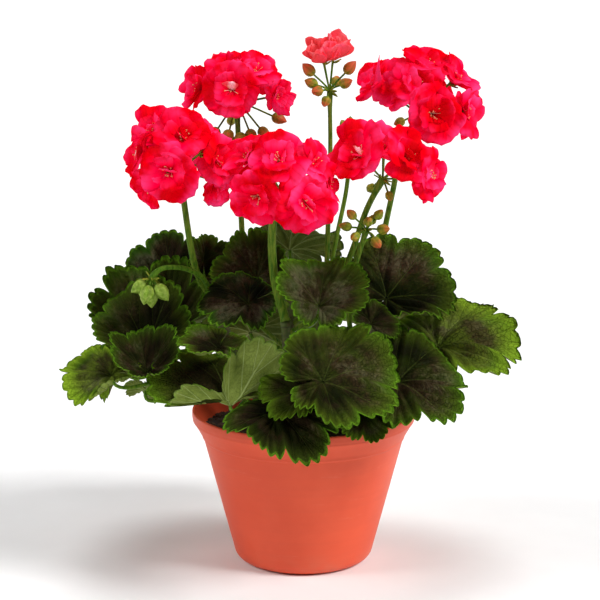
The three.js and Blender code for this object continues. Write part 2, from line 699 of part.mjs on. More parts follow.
const addPart = (name, solid, finish) => {
  const mesh = new THREE.Mesh(geometryOf(solid), finish);
  mesh.name = name;
  plant.add(mesh);
};

const stemClearance = makeStem(FIT_GAP);

addPart("pot", makePot(), finishes.pot);
addPart("soil", largestBody(makeSoil().subtract(stemClearance)), finishes.soil);
addPart("branching_stem", makeStem(0), finishes.stem);

LEAVES.forEach((leaf, index) => {
  const solid = makeLeaf(leaf, index).subtract(stemClearance);
  addPart(`leaf_${leaf.name}`, largestBody(solid), finishes.leaf);
});

for (const head of HEADS) {
  const stalk = makeStalk(head).subtract(stemClearance);
  addPart(`${head.name}_stalk`, largestBody(stalk), finishes.stalk);
  if (head.florets.length) {
    addPart(`${head.name}_florets`, makeFlorets(head), finishes.petal);
  }
}

export default plant;
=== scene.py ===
"""Potted zonal geranium, dressed for the camera. Metres, +Z up, the plant's best side faces -Y."""
import math
import bpy
import numpy as np
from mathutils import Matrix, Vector


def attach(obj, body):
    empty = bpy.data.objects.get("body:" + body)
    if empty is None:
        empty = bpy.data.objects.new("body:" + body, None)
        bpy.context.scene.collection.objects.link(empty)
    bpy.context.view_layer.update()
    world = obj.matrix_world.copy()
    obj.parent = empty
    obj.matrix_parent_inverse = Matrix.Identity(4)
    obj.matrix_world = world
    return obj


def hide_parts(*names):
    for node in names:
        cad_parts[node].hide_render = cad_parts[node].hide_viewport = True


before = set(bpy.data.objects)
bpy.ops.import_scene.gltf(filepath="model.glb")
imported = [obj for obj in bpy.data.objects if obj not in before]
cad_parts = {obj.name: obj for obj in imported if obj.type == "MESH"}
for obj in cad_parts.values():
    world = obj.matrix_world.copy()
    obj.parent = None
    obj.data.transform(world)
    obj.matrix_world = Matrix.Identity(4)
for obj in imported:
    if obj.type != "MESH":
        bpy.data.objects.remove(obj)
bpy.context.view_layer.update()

MM = 0.001
GOLDEN_ANGLE = math.radians(137.508)
UP = np.array([0.0, 0.0, 1.0])


class Sizes:
    """The named sizes of one kind of piece."""

    def __init__(self, **sizes):
        for name, value in sizes.items():
            setattr(self, name, value)


# Sizes in millimetres, and a blade's as shares of its radius; the finer pieces keep those of the solids
POT = Sizes(foot_radius=36, corner_radius=8, wall_start=44.2, band_height=79.9, band_radius=63.1,
            ridge_height=91, ridge_radius=69.4, height=97, lip_radius=70, wall=1.7, floor=2.2,
            sides=128)
DRAIN_HOLES = Sizes(count=6, radius=4, circle=24, sides=32)
SOIL = Sizes(top=85, lump=1.1, radius=63, level_rim=6, sag=1.8, sides=128)
STEM = Sizes(foot_radius=5.2, tip_radius=3, skin=0.94, joint=0.5)
LEAF = Sizes(lobes=7, slit=5, lobe_depth=0.17, basal_shrink=0.42, inner_ring=0.55, funnel=0.16,
             funnel_reach=0.2, droop=0.1, ruffle=0.12, pleat=0.11, fold_width=0.1, teeth=5,
             tooth_depth=0.06, quilt=0.042, quilt_reach=0.045, crimp=0.02, blister=0.028,
             main_vein=0.026, side_vein=0.012, groove=0.22, rib=0.45, half=0.3, thin_rim=0.55,
             lobe_columns=30)
VEIN_LINES = Sizes(main=0.017, taper=0.011, side=0.0085, wobble=0.03, net=24)
# Rows of the blade, as shares of the way from its hub to its rim
BLADE_SHARES = np.concatenate([[0, 0.012, 0.045], np.linspace(0.09, 1, 16)])
# Side veins of a lobe: where each leaves the main vein, and the angle at which it does
SIDE_VEINS = [(0.22, 0.423), (0.5, 0.33)]
BLADE_END = math.radians(180 - LEAF.slit)
LOBE_HALF_ANGLE = BLADE_END / LEAF.lobes
LEAF_STALK = Sizes(root_radius=1.5, tip_radius=1.05, steepness=0.75, leave=0.33, arrive=0.3, sunk=0.6,
                   foot_swell=[0.9, 0.3], inward=0.03, below=0.45, steps=20)
KNOT = Sizes(width=1.25, height=0.851, gap=0.35)
HEAD_STALK = Sizes(foot_swell=0.6, top_swell=[0.15, 0.4, 0.6, 0.4], steps=40)
CALYX = Sizes(sepals=5, below=1.6, out=0.7, scale=0.45, power=0.9)
PEDICEL = Sizes(radius=0.6, flare=1.3)
COROLLA = Sizes(flat=1.15, depth=0.75, sunward=np.array([0, -0.35, 0.1]))
PETAL = Sizes(columns=11, rows=10, half=0.13, foot=0.6, notch=0.05, ruffle=0.09, crinkle=0.035,
              lap=0.11, arch=0.1, fray=0.03)
# Florets whose inner petal has a whitish streak
PALE_FLORETS = {"head_top_left": 0, "head_left": 2, "head_right": 0}
STAMENS = Sizes(count=7, radius=0.2, anther=[0.4, 0.4, 0.8])
BRACTS = Sizes(count=7, turn=51.4, length=4.6)

CAMERA = Sizes(place=(-0.0022, -1.2716, 0.4366), aim=(-0.0022, 0, 0.1663), lens=125.4, sensor=36)
# Lamps: azimuth from the front towards the right, height, width of the disc and power
LAMPS = {"left_lamp": (-75, 36, 30, 1.5), "right_lamp": (66, 40, 24, 3.0), "top_lamp": (175, 68, 30, 1.3)}
SKY = 0.06
FLOOR_HALF = 14.0

# Stem branches, from inside the trunk to the growing tip
BRANCHES = [
    [[0, 0, 55], [1, 1, 95], [5, 2, 128], [13, 1, 154]],
    [[0, 0, 84], [-22, -14, 102], [-38, -24, 124], [-46, -28, 142]],
    [[0, 0, 90], [-28, 8, 114], [-48, 13, 140], [-57, 14, 164]],
    [[0, 0, 84], [20, -18, 102], [33, -28, 122], [38, -32, 142]],
    [[0, 0, 90], [24, 14, 112], [39, 22, 136], [46, 25, 160]],
    [[0, 0, 78], [-6, -26, 104], [-9, -35, 134], [-11, -37, 162]],
    [[0, 0, 86], [-4, 26, 108], [-9, 42, 134], [-10, 48, 158]],
]

# Leaves: name, place of the hub, radius, way the upper side looks, turn of the tip, branch and share,
# and what sets a leaf apart: basal shrinks the lobes at its stalk, trims shorten it (direction, share),
# bends roll it (direction, start, stop, turn), fold and cup raise its sides, fresh makes it greener and
# calm makes it smoother
LEAVES = [
    ["front_big", [11, -85, 134.6], 48, [8, 52], 105, [5, 0.62], {"basal": 0.5, "fresh": 0.18}],
    ["front_low_left", [3, -82, 128], 30, [-12, 54], -85, [5, 0.5],
     {"basal": 0.85, "trims": [[-60, 0.55]], "fresh": 0.3}],
    ["front_hanging", [-14, -81.5, 115.4], 45, [-3, 53], 34, [5, 0.3],
     {"basal": 0.4, "trims": [[108, 0.8], [-160, 0.65], [-58, 0.28], [25, 0.1]]}],
    ["front_low_right", [36, -62, 111], 22, [14, 42], 10, [3, 0.35], {}],
    ["right_low", [56, -52, 126], 48, [22, 62], 76, [3, 0.6], {"trims": [[-5, 0.12]]}],
    ["right_wide", [84, 4, 134], 53, [-6, 67], 100, [4, 0.62], {"trims": [[-95, 0.22]], "fresh": 0.62}],
    ["right_fan", [52, 13, 164], 47, [6, 41], 140, [4, 0.93],
     {"bends": [[222, 0.1, 0.5, 46]], "fresh": 0.12}],
    ["right_inner", [41, -25, 156], 19, [15, 50], 100, [0, 0.7], {}],
    ["right_behind", [76, 46, 162], 27, [40, 68], 165, [4, 0.8], {}],
    ["middle_saddle", [9, -38, 170], 34, [10, 48], 165, [5, 0.9], {"fold": 0.6}],
    ["middle_left", [-34, -22, 168], 32, [-5, 64], -80, [5, 0.8], {"fresh": 0.02}],
    ["middle_bowl", [-51, -60, 149], 26, [0, 72], -30, [1, 0.93], {"cup": 0.15, "trims": [[75, 0.45]]}],
    ["middle_dark", [-29, 16, 177], 29, [-20, 32], -140, [6, 0.93], {"cup": 0.2}],
    ["middle_back", [-9, 45, 189], 36, [180, 50], -125, [6, 0.98], {}],
    ["left_turned_up", [-43, -76, 119], 55, [-6, 60], -105, [1, 0.5],
     {"basal": 0.1, "trims": [[45, 0.3], [92, 0.75], [-100, 0.45], [-150, 0.65]],
      "bends": [[115, 0, 0.12, 125]], "fresh": 0.3, "calm": 0.75}],
    ["left_cup", [-94, -58, 134], 25, [3, 62], -170, [1, 0.8], {"cup": 0.28, "fold": 0.4, "fresh": 0.08}],
    ["left_tip", [-115, -59, 132], 31, [-12, 60], -95, [2, 0.48],
     {"trims": [[-100, 0.7]], "bends": [[140, 0.3, 0.7, 120]], "fresh": 0.85}],
    ["left_tall", [-96, -20, 139], 43, [-4, 36], -152, [2, 0.56],
     {"fold": 0.7, "basal": 0.7, "trims": [[60, 0.2], [115, 0.4]]}],
    ["left_hollow", [-90, 22, 138], 46, [-6, 50], -140, [2, 0.77],
     {"cup": 0.3, "basal": 0.6, "fresh": 0.08}],
    ["left_crest", [-85, 55, 163], 38, [-8, 30], -168, [2, 0.9], {"fresh": 0.02}],
    ["left_edge", [-112, 9, 117], 23, [-85, 45], 0, [2, 0.66], {"fresh": 0.6}],
    ["left_under", [-97, -30, 116], 17, [170, 50], 0, [2, 0.38], {}],
    ["left_stalk_side", [-64, 33, 184], 18, [25, 10], 172, [2, 0.95], {"fold": 0.9}],
    ["back_left_high", [-80, 80, 130], 42, [-135, 50], 0, [6, 0.55], {}],
    ["back_left_low", [-35, 88, 125], 44, [-160, 45], 0, [6, 0.45], {}],
    ["back_middle", [10, 90, 140], 42, [175, 48], 0, [6, 0.65], {}],
    ["back_right", [60, 78, 129], 41, [145, 45], 0, [4, 0.5], {}],
    ["back_right_side", [92, 58, 134], 38, [115, 48], 0, [4, 0.7], {}],
    ["back_left_side", [-102, 44, 126], 32, [-110, 45], 0, [2, 0.58], {}],
    ["back_top_left", [-28, 66, 165], 31, [-170, 55], 0, [6, 0.88], {}],
    ["back_top_right", [35, 66, 162], 36, [160, 55], 0, [6, 0.78], {}],
    ["back_foot", [2, 86, 104], 36, [180, 35], 0, [6, 0.3], {}],
]

# Flower heads: name, hub, branch and share, way of the stalk, radii of the stalk, how red the buds are,
# florets as azimuth, height, radius, reach and openness, and buds as azimuth, height, reach and length
HEADS = [
    ["head_left", [-75, -5, 254], [2, 0.99], [[-66, -2, 184], [-73, -5, 226]], [2.2, 1.8], 0.2,
     [[-11, -6, 18, 23, 0.6], [8, 42, 17, 22, 0.5], [-85, 12, 15, 22, 0.6], [-64, -34, 13, 22, 0.5],
      [88, 50, 13, 19, 0.5], [60, 6, 16, 23, 0.5], [78, -30, 14, 24, 0.5], [-75, 50, 14, 23, 0.5],
      [150, 5, 13, 23, 0.6], [-145, 15, 13, 23, 0.6]],
     [[30, -50, 12, 8], [-30, -62, 12, 8]]],
    ["head_top_left", [-42, 45, 289], [6, 0.99], [[-36, 51, 185], [-40, 46, 215], [-41, 45, 250]],
     [2, 1.7], 0.5,
     [[-6, 14, 17.5, 21, 0.7], [62, 0, 11, 26, 0.4], [-76, 12, 14, 22, 0.6], [-30, 62, 14, 17, 0.6],
      [50, 44, 14, 20, 0.6], [150, 18, 14, 21, 0.6], [-132, 26, 14, 21, 0.6]],
     [[-25, -58, 20, 10], [12, -62, 21, 10], [45, -58, 20, 10], [-60, -50, 21, 10],
      [0, -80, 22, 10], [75, -48, 22, 10], [85, -22, 24, 10], [-165, -42, 17, 9]]],
    ["head_front", [-12, -35, 245], [5, 0.99], [[-18, -29, 188], [-18, -32, 224]], [2.8, 2.4], 0.3,
     [[-35, -10, 17, 24, 0.7], [29, -17, 18, 24, 0.7], [-6, 40, 17, 24, 0.7], [54, 32, 13, 24, 0.6],
      [-72, 38, 15, 24, 0.5], [88, 0, 11, 24, 0.5], [150, 25, 13, 23, 0.6], [-145, 20, 13, 23, 0.6]],
     [[-10, -50, 12, 8], [-150, -40, 12, 8]]],
    ["head_right", [48, -15, 249], [0, 0.78],
     [[16, -5, 156], [21, -8, 174], [31.5, -10, 204], [38.7, -13, 226]], [2, 1.8], 0.3,
     [[-45, 32, 18.5, 21, 0.45], [42, 30, 17.5, 20, 0.45], [64, 0, 15.5, 27, 0.8], [0, 66, 13, 14, 0.4],
      [175, 25, 14, 21, 0.6]],
     [[20, -40, 11, 7], [-150, -30, 12, 8]]],
    ["head_top_right", [73, 35, 282], [4, 0.99],
     [[49, 43, 180], [52, 51, 200], [57, 45, 228], [63, 38, 260]], [2, 1.7], 0.2,
     [[14, -2, 18, 24, 0.7], [76, -4, 17, 25, 0.6], [-40, 32, 16, 24, 0.6], [-92, 30, 16, 28, 0.5],
      [30, 74, 16, 25, 0.6], [88, 40, 14, 25, 0.5], [165, 12, 14, 23, 0.6], [-140, 28, 13, 23, 0.6],
      [-10, 42, 16, 23, 0.6]],
     [[-60, -15, 12, 8], [140, -35, 13, 8]]],
    ["head_opening", [16, 10, 299], [0, 0.99], [[14, 4, 175], [15, 8, 205], [16.5, 9, 255]],
     [1.8, 1.3], 0.55,
     [[-60, 73, 12.5, 15, -0.6], [45, 80, 12.5, 16, -0.6]],
     [[-74, 44, 14, 10], [85, 48, 14, 10], [-67, 22, 9, 9], [-40, 2, 8, 9],
      [62, 24, 8, 9], [-20, -40, 6, 8], [160, 20, 9, 9]]],
    ["buds_middle", [38, -24, 215], [3, 0.75], [[28, -15, 158], [28, -12, 176], [34, -18, 200]],
     [1.8, 1.5], 0.35, [],
     [[-60, 44, 11, 8], [45, 46, 11, 8], [5, 35, 8, 8], [50, 8, 9, 9], [30, -28, 9, 9],
      [-35, -12, 9, 8], [-85, 10, 9, 8], [160, 20, 9, 8]]],
    ["buds_nodding", [-92, -34, 187], [2, 0.84],
     [[-58, 2, 171], [-64, -14, 185], [-76, -26, 192], [-87, -32, 192]], [1.7, 1.5], -0.3, [],
     [[-90, -35, 4, 11], [-30, -60, 5, 12], [70, -50, 5, 12], [0, -85, 6, 12], [-130, -55, 5, 11],
      [150, -55, 5, 11]]],
    ["buds_behind", [29, 20, 266], [0, 0.9], [[15, 11, 172], [20, 15, 200], [27, 18, 235]],
     [1.6, 1.3], 0.1, [],
     [[0, 80, 4, 9], [90, 30, 6, 8], [-150, 40, 6, 8], [170, -20, 6, 8]]],
]


# Camera, light and floor
def add_object(name, data):
    made = bpy.data.objects.new(name, data)
    bpy.context.collection.objects.link(made)
    return made


def set_camera():
    data = bpy.data.cameras.new("camera")
    data.lens = CAMERA.lens
    data.sensor_width = CAMERA.sensor
    data.clip_start = 0.05
    data.clip_end = 100
    camera = add_object("camera", data)
    camera.location = CAMERA.place
    sight = Vector(CAMERA.aim) - camera.location
    camera.rotation_euler = sight.to_track_quat("-Z", "Y").to_euler()
    bpy.context.scene.camera = camera


def set_studio():
    """A white sky and wide, distant lamps, so that the floor is lit evenly."""
    world = bpy.data.worlds.new("studio")
    world.use_nodes = True
    sky = world.node_tree.nodes["Background"]
    sky.inputs["Color"].default_value = (1, 1, 1, 1)
    sky.inputs["Strength"].default_value = SKY
    bpy.context.scene.world = world
    bpy.context.scene.view_settings.view_transform = "Standard"
    for name, (azimuth, height, angle, power) in LAMPS.items():
        lamp = bpy.data.lights.new(name, "SUN")
        lamp.angle = math.radians(angle)
        lamp.energy = power
        way = Vector(direction_of(azimuth, height))
        add_object(name, lamp).rotation_euler = (-way).to_track_quat("-Z", "Y").to_euler()


def add_floor():
    corners = [(FLOOR_HALF * x, FLOOR_HALF * y, 0) for x, y in ((-1, -1), (1, -1), (1, 1), (-1, 1))]
    mesh = bpy.data.meshes.new("floor")
    mesh.from_pydata(corners, [], [(0, 1, 2, 3)])
    paper = Finish("pale_paper")
    colour = paper.mix(paper.noise(40, 3), (243,) * 3, (248,) * 3)
    mesh.materials.append(paper.show(colour, 0.9))
    add_object("floor", mesh)


# Shader maths
def srgb(screen):
    """Linear colour of the given screen colour."""
    return tuple(((c / 255 + 0.055) / 1.055) ** 2.4 if c > 10 else c / 255 / 12.92 for c in screen)


def fill(tree, node, values):
    """Sets or links the sockets of a node."""
    for name, value in values.items():
        socket = node.inputs[name]
        if isinstance(value, Value):
            tree.links.new(value.socket, socket)
        elif isinstance(value, tuple) and socket.type == "RGBA":
            socket.default_value = (*value, 1)
        else:
            socket.default_value = value


def add_node(tree, kind, settings, values, output=0):
    """What an output of a new node gives; its settings are made before its sockets."""
    made = tree.nodes.new(kind)
    for name, value in settings.items():
        setattr(made, name, value)
    fill(tree, made, values)
    return Value(tree, made.outputs[output])


def maths(operation):
    """A method that adds one Math node."""
    def work(value, *others):
        inputs = dict(enumerate((value, *others)))
        return add_node(value.tree, "ShaderNodeMath", {"operation": operation}, inputs)
    return work


class Value:
    """A number or colour that a tree works out, so that its maths is written as maths."""

    def __init__(self, tree, socket):
        self.tree = tree
        self.socket = socket

    __add__ = __radd__ = maths("ADD")
    __mul__ = __rmul__ = maths("MULTIPLY")
    __sub__ = maths("SUBTRACT")
    __truediv__ = maths("DIVIDE")
    __pow__ = maths("POWER")
    __abs__ = maths("ABSOLUTE")
    larger = maths("MAXIMUM")
    smaller = maths("MINIMUM")
    fraction = maths("FRACT")
    sine = maths("SINE")
    cosine = maths("COSINE")

    def __rsub__(self, other):
        return self * -1 + other

    def step(self, low, high):
        """From 0 at low to 1 at high, smoothly."""
        ends = {0: self, 1: low, 2: high, 3: 0.0, 4: 1.0}
        return add_node(self.tree, "ShaderNodeMapRange", {"interpolation_type": "SMOOTHSTEP"}, ends)

    def parts(self):
        """The three numbers of a vector."""
        first = add_node(self.tree, "ShaderNodeSeparateXYZ", {}, {0: self})
        return [Value(self.tree, socket) for socket in first.socket.node.outputs]


class Finish:
    """A material with one Principled shader."""

    def __init__(self, name):
        self.material = bpy.data.materials.new(name)
        self.material.use_nodes = True
        self.tree = self.material.node_tree
        self.shader = self.tree.nodes["Principled BSDF"]
        self.place = self.node("ShaderNodeTexCoord", {}, {}, "Object")

    def node(self, kind, settings, values, output=0):
        return add_node(self.tree, kind, settings, values, output)

    def attribute(self, name):
        """The three numbers of a vector attribute."""
        return self.node("ShaderNodeAttribute", {"attribute_name": name}, {}, "Vector").parts()

    def joined(self, x, y, z):
        return self.node("ShaderNodeCombineXYZ", {}, {0: x, 1: y, 2: z})

    def noise(self, scale, detail=2, roughness=0.5, at=None):
        values = {"Vector": at or self.place, "Scale": scale, "Detail": detail, "Roughness": roughness}
        return self.node("ShaderNodeTexNoise", {}, values)

    def cells(self, vector, scale):
        """Distance to the nearest edge between cells."""
        values = {"Vector": vector, "Scale": scale}
        return self.node("ShaderNodeTexVoronoi", {"feature": "DISTANCE_TO_EDGE"}, values)

    def mix(self, share, low, high):
        """A colour between two, each a value or a screen colour."""
        low, high = (c if isinstance(c, Value) else srgb(c) for c in (low, high))
        return self.node("ShaderNodeMix", {"data_type": "RGBA"}, {0: share, 6: low, 7: high}, 2)

    def coats(self, colour, *coats):
        """A colour with coats over it, each a share and a colour."""
        for share, coat in coats:
            colour = self.mix(share, colour, coat)
        return colour

    def show(self, colour, roughness, relief=None, strength=1.0, depth=0.001, gloss=0.5, glow=0.0):
        """Feeds the shader; relief is the height that its bump follows, and glow makes the colour shine by
        itself, a painted light.
        """
        values = {"Base Color": colour, "Roughness": roughness, "Specular IOR Level": gloss}
        if relief:
            bump = {"Height": relief, "Strength": strength, "Distance": depth}
            values["Normal"] = self.node("ShaderNodeBump", {}, bump)
        if glow:
            values.update({"Emission Color": colour, "Emission Strength": glow})
        fill(self.tree, self.shader, values)
        return self.material


# Materials
def terracotta_plastic():
    """Moulded plastic in a brick colour, with faint flow lines, scuffs and a dusty foot."""
    finish = Finish("terracotta_plastic")
    x, y, z = finish.place.parts()
    cloud = finish.noise(14, 4, 0.6)
    grain = finish.noise(900)
    rings = finish.noise(1.0, 3, at=finish.joined(x * 4, y * 4, z * 260))
    scuffs = finish.noise(1.0, 4, 0.7, finish.joined(x * 30, y * 30, z * 140)).step(0.62, 0.8)
    dust = (1 - z.step(0.0, 0.02)) * finish.noise(60, 4).step(0.4, 0.75)
    colour = finish.coats(
        finish.mix(cloud.step(0.3, 0.7), (220, 79, 46), (231, 91, 57)),
        (rings.step(0.35, 0.7) * 0.1, (200, 72, 50)),
        (scuffs * 0.22, (238, 146, 120)),
        (dust * 0.25, (196, 130, 104)))
    relief = grain * 0.35 + rings * 0.15 + scuffs * 0.2
    return finish.show(colour, 0.4 + 0.12 * cloud + 0.12 * scuffs, relief, 0.12, 0.0004, gloss=0.32)


def peat(name, dark, light):
    finish = Finish(name)
    lumps = finish.noise(220, 6, 0.7)
    colour = finish.coats(
        finish.mix(lumps.step(0.3, 0.7), dark, light),
        (finish.noise(50, 3).step(0.4, 0.65) * 0.4, (30, 20, 13)),
        (finish.noise(700).step(0.62, 0.7) * 0.35, (120, 90, 60)))
    return finish.show(colour, 0.95, lumps, 0.8)


def woody_stem():
    """Brown bark with leaf scars low down, greener towards the growing tips."""
    finish = Finish("woody_stem")
    _, along, _ = finish.attribute("course")
    streaks = finish.noise(120, 4, 0.6)
    cork = finish.noise(420, 3, 0.7)
    age = (1.15 - along + (streaks - 0.5) * 0.9).step(0.2, 0.9)
    rings = (along * 120).sine().step(0.9, 1.0)
    colour = finish.coats(
        finish.mix(age, (78, 92, 34), (84, 58, 38)),
        (cork.step(0.5, 0.7) * 0.5, (120, 92, 64)),
        (rings * 0.6, (52, 34, 22)))
    return finish.show(colour, 0.75, cork * 0.6 + streaks * 0.5 - rings * 0.4, 0.6, 0.0008)


def blade_pattern(finish):
    """Vein masks of a leaf blade, from its angle and its share of the way to the rim."""
    angle, share, tone = finish.attribute("blade")
    lobe = (angle * 0.5 + 0.5) * LEAF.lobes
    away = abs(lobe.fraction() - 0.5) * 2 * LOBE_HALF_ANGLE
    drift = finish.noise(1.0, 3, at=finish.joined(angle * 6, share * 5, tone * 9))
    wobble = (drift - 0.5) * VEIN_LINES.wobble
    width = VEIN_LINES.main - share * VEIN_LINES.taper
    main = 1 - ((away + wobble * 0.5) * share / width).step(0.2, 1.0)
    lines = []
    for start, spread in SIDE_VEINS:
        way = (1 - share.larger(start) ** -1 * start) * spread
        line = 1 - (abs(away + wobble - way) * share / VEIN_LINES.side).step(0.2, 1.0)
        lines.append(line * share.step(start, start + 0.06))
    x = (angle * BLADE_END).cosine() * share
    y = (angle * BLADE_END).sine() * share
    flat = finish.joined(x, y, tone * 5)
    net = finish.cells(flat, VEIN_LINES.net).step(0.0, 0.1)
    return share, tone, away / LOBE_HALF_ANGLE, flat, main, lines[0].larger(lines[1]), net


def leaf_upper():
    """Matt blade with a dark brown zone, green hub, pale veins and a bright green scalloped rim, with
    painted grey sheen and painted shade in broad patches.
    """
    finish = Finish("leaf_upper")
    share, tone, side, flat, main, forks, net = blade_pattern(finish)
    fresh = tone.fraction()
    patches = finish.noise(2.6, 4, 0.6, flat)
    drift = finish.noise(1.1, 2, at=flat)
    fine = finish.noise(16, 3, 0.65, flat)
    # painted sheen: grey highlights where the broad drift noise is high, standing in for light caught on
    # the leaf
    painted_sheen = (drift + (fine - 0.5) * 0.5).step(0.5, 0.78) * (1 - net * 0.5)
    edge = share + (patches - 0.5) * 0.3 + (drift - 0.5) * 0.5 + side * 0.05 + fresh * 0.18
    rim = (share + (fine - 0.5) * 0.06).step(0.93, 0.99)
    colour = finish.coats(
        finish.mix(fine, (4, 7, 1), (28, 38, 8)),
        ((patches + fine * 0.25).step(0.45, 0.75), finish.mix(fine, (20, 11, 5), (74, 52, 38))),
        (painted_sheen * 0.62, (138, 138, 106)),
        (fresh * (1 - patches.step(0.42, 0.62) * 0.8), (112, 132, 40)),
        (edge.step(0.8, 1.08), finish.mix(fine, (14, 40, 2), (56, 102, 14))),
        ((1 - share.step(0.02, 0.26)) * 0.4, (50, 70, 16)),
        # painted shade: near-black patches where the broad drift noise is low, less on fresh leaves
        ((1 - drift.step(0.36, 0.58)) * (0.95 - fresh), (4, 10, 1)),
        (main.larger(forks * 0.6) * 0.3, (104, 120, 52)),
        ((1 - net) * 0.35, (18, 25, 3)),
        (rim * (0.25 + drift * 0.9), (126, 188, 44)),
        (share.step(0.6, 1.0) * fresh, (150, 186, 44)))
    relief = net * 0.5 - main * 0.9 - forks * 0.6 + finish.noise(60, at=flat) * 0.3 + fine * 0.4
    return finish.show(colour, 0.42 + patches * 0.14, relief, 0.9, 0.0015, gloss=0.03)


def leaf_under():
    """Paler, downy underside with raised veins."""
    finish = Finish("leaf_under")
    share, _, _, flat, main, forks, net = blade_pattern(finish)
    colour = finish.coats(
        finish.mix(finish.noise(4, 4, 0.6, flat).step(0.25, 0.75), (94, 110, 38), (128, 144, 66)),
        ((1 - net) * 0.3, (54, 74, 16)),
        (main.larger(forks * 0.7) * 0.6, (172, 188, 116)),
        (share.step(0.92, 1.0) * 0.5, (132, 168, 66)))
    relief = main * 1.2 + forks * 0.9 - net * 0.4 + finish.noise(80, at=flat) * 0.3
    return finish.show(colour, 0.75, relief, 0.7, 0.0009, gloss=0.12)


def green_stalk():
    """Downy green stalk with a reddish flush, which its course attribute gives, and a faint painted glow.
    """
    finish = Finish("green_stalk")
    _, _, flush = finish.attribute("course")
    x, y, z = finish.place.parts()
    streaks = finish.noise(120, 3, at=finish.joined(x * 6, y * 6, z))
    specks = finish.noise(1500)
    colour = finish.coats(
        finish.mix(streaks.step(0.3, 0.7), (54, 90, 14), (92, 130, 32)),
        (flush * streaks.step(0.35, 0.65), (118, 104, 44)),
        (specks.step(0.6, 0.75) * 0.25, (160, 180, 90)))
    # painted light: the stalks glow faintly with their own colour, brightening them in shade
    return finish.show(colour, 0.55, streaks + specks * 0.5, 0.3, 0.0004, gloss=0.1, glow=0.1)


def bud_skin():
    """Ribbed olive sepals that turn red at the tip where a bud is ripe; a young one is pale green."""
    finish = Finish("bud_skin")
    rise, rib, flush = finish.attribute("sepal")
    mottle = finish.noise(500, 3)
    spots = mottle.step(0.3, 0.7)
    ripe = (rise * 0.6 + (mottle - 0.5) * 0.7 + flush).step(0.5, 1.05)
    colour = finish.coats(
        finish.mix(spots, (112, 128, 24), (160, 168, 52)),
        ((flush * -4).smaller(1.0), finish.mix(spots, (112, 148, 36), (168, 194, 86))),
        (ripe * 0.9, (206, 72, 50)),
        (rib * 0.4, (70, 84, 24)))
    return finish.show(colour, 0.5, mottle - rib * 0.8, 0.35, 0.0005, gloss=0.15)


def petal_red():
    """Soft saturated red petals, pinker at their ends, with fine veins, pale streaks, painted shade at
    their feet and a faint painted glow.
    """
    finish = Finish("petal_red")
    across, along, pale = finish.attribute("petal")
    cloud = finish.noise(55, 3)
    veins = ((across * 16 + (cloud - 0.5) * 3).sine() * 0.5 + 0.5) ** 3
    streak = (1 - abs(across + (cloud - 0.5) * 0.5).step(0.1, 0.55)) * (pale ** 3 + 0.003)
    colour = finish.coats(
        finish.mix(cloud.step(0.35, 0.65), (220, 0, 16), (255, 0, 64)),
        (along.step(0.5, 1.0) * cloud.step(0.4, 0.7) * 0.8, (255, 68, 134)),
        # painted shade: darker red towards the petal's foot, deep in the floret
        ((1 - along.step(0.0, 0.55)) * 0.8, (152, 0, 12)),
        (veins * 0.1, (196, 0, 14)),
        (pale.step(0.2, 0.6) * 0.6, (246, 100, 104)),
        (streak.smaller(1.0), (255, 206, 216)))
    relief = veins * 0.5 + finish.noise(260, 3) * 0.8
    # painted light: the petals glow faintly with their own colour, standing in for light through them
    return finish.show(colour, 0.6 + cloud * 0.15, relief, 0.6, 0.0009, gloss=0.0, glow=0.16)


def stamen_finish(name, low, high):
    finish = Finish(name)
    grain = finish.noise(600)
    return finish.show(finish.mix(grain, low, high), 0.5, grain, 0.2, 0.0002)


# Curves
def unit(v):
    return v / np.linalg.norm(v)


def direction_of(azimuth, height):
    a = math.radians(azimuth)
    h = math.radians(height)
    return np.array([math.sin(a) * math.cos(h), -math.cos(a) * math.cos(h), math.sin(h)])


def smooth_path(points, count):
    """Evenly spaced points on the smooth curve through the given ones, with centripetal spacing."""
    known = np.array(points, float)
    padded = np.vstack([2 * known[0] - known[1], known, 2 * known[-1] - known[-2]])
    w = np.linspace(0, 1, 60, endpoint=False)[:, None]
    dense = []
    for p0, p1, p2, p3 in zip(padded, padded[1:], padded[2:], padded[3:]):
        d0, d1, d2 = (math.sqrt(np.linalg.norm(b - a)) for a, b in ((p0, p1), (p1, p2), (p2, p3)))
        t1 = ((p1 - p0) / d0 - (p2 - p0) / (d0 + d1) + (p2 - p1) / d1) * d1
        t2 = ((p2 - p1) / d1 - (p3 - p1) / (d1 + d2) + (p3 - p2) / d2) * d1
        bend = (3 * (p2 - p1) - 2 * t1 - t2) * w ** 2 + (2 * (p1 - p2) + t1 + t2) * w ** 3
        dense.append(p1 + t1 * w + bend)
    dense = np.vstack([*dense, known[-1:]])
    run = np.concatenate([[0], np.cumsum(np.linalg.norm(np.diff(dense, axis=0), axis=1))])
    wanted = np.linspace(0, run[-1], count + 1)
    return np.stack([np.interp(wanted, run, dense[:, k]) for k in range(3)], axis=1)


def bezier(p0, p1, p2, p3, count):
    t = np.linspace(0, 1, count + 1)[:, None]
    return p0 * (1 - t) ** 3 + 3 * p1 * t * (1 - t) ** 2 + 3 * p2 * t ** 2 * (1 - t) + p3 * t ** 3


BRANCH_PATHS = [smooth_path(points, 100) for points in BRANCHES]


def branch_point(branch, share):
    return BRANCH_PATHS[branch][round(share * 100)]


def stem_radius(share):
    return STEM.foot_radius + (STEM.tip_radius - STEM.foot_radius) * share


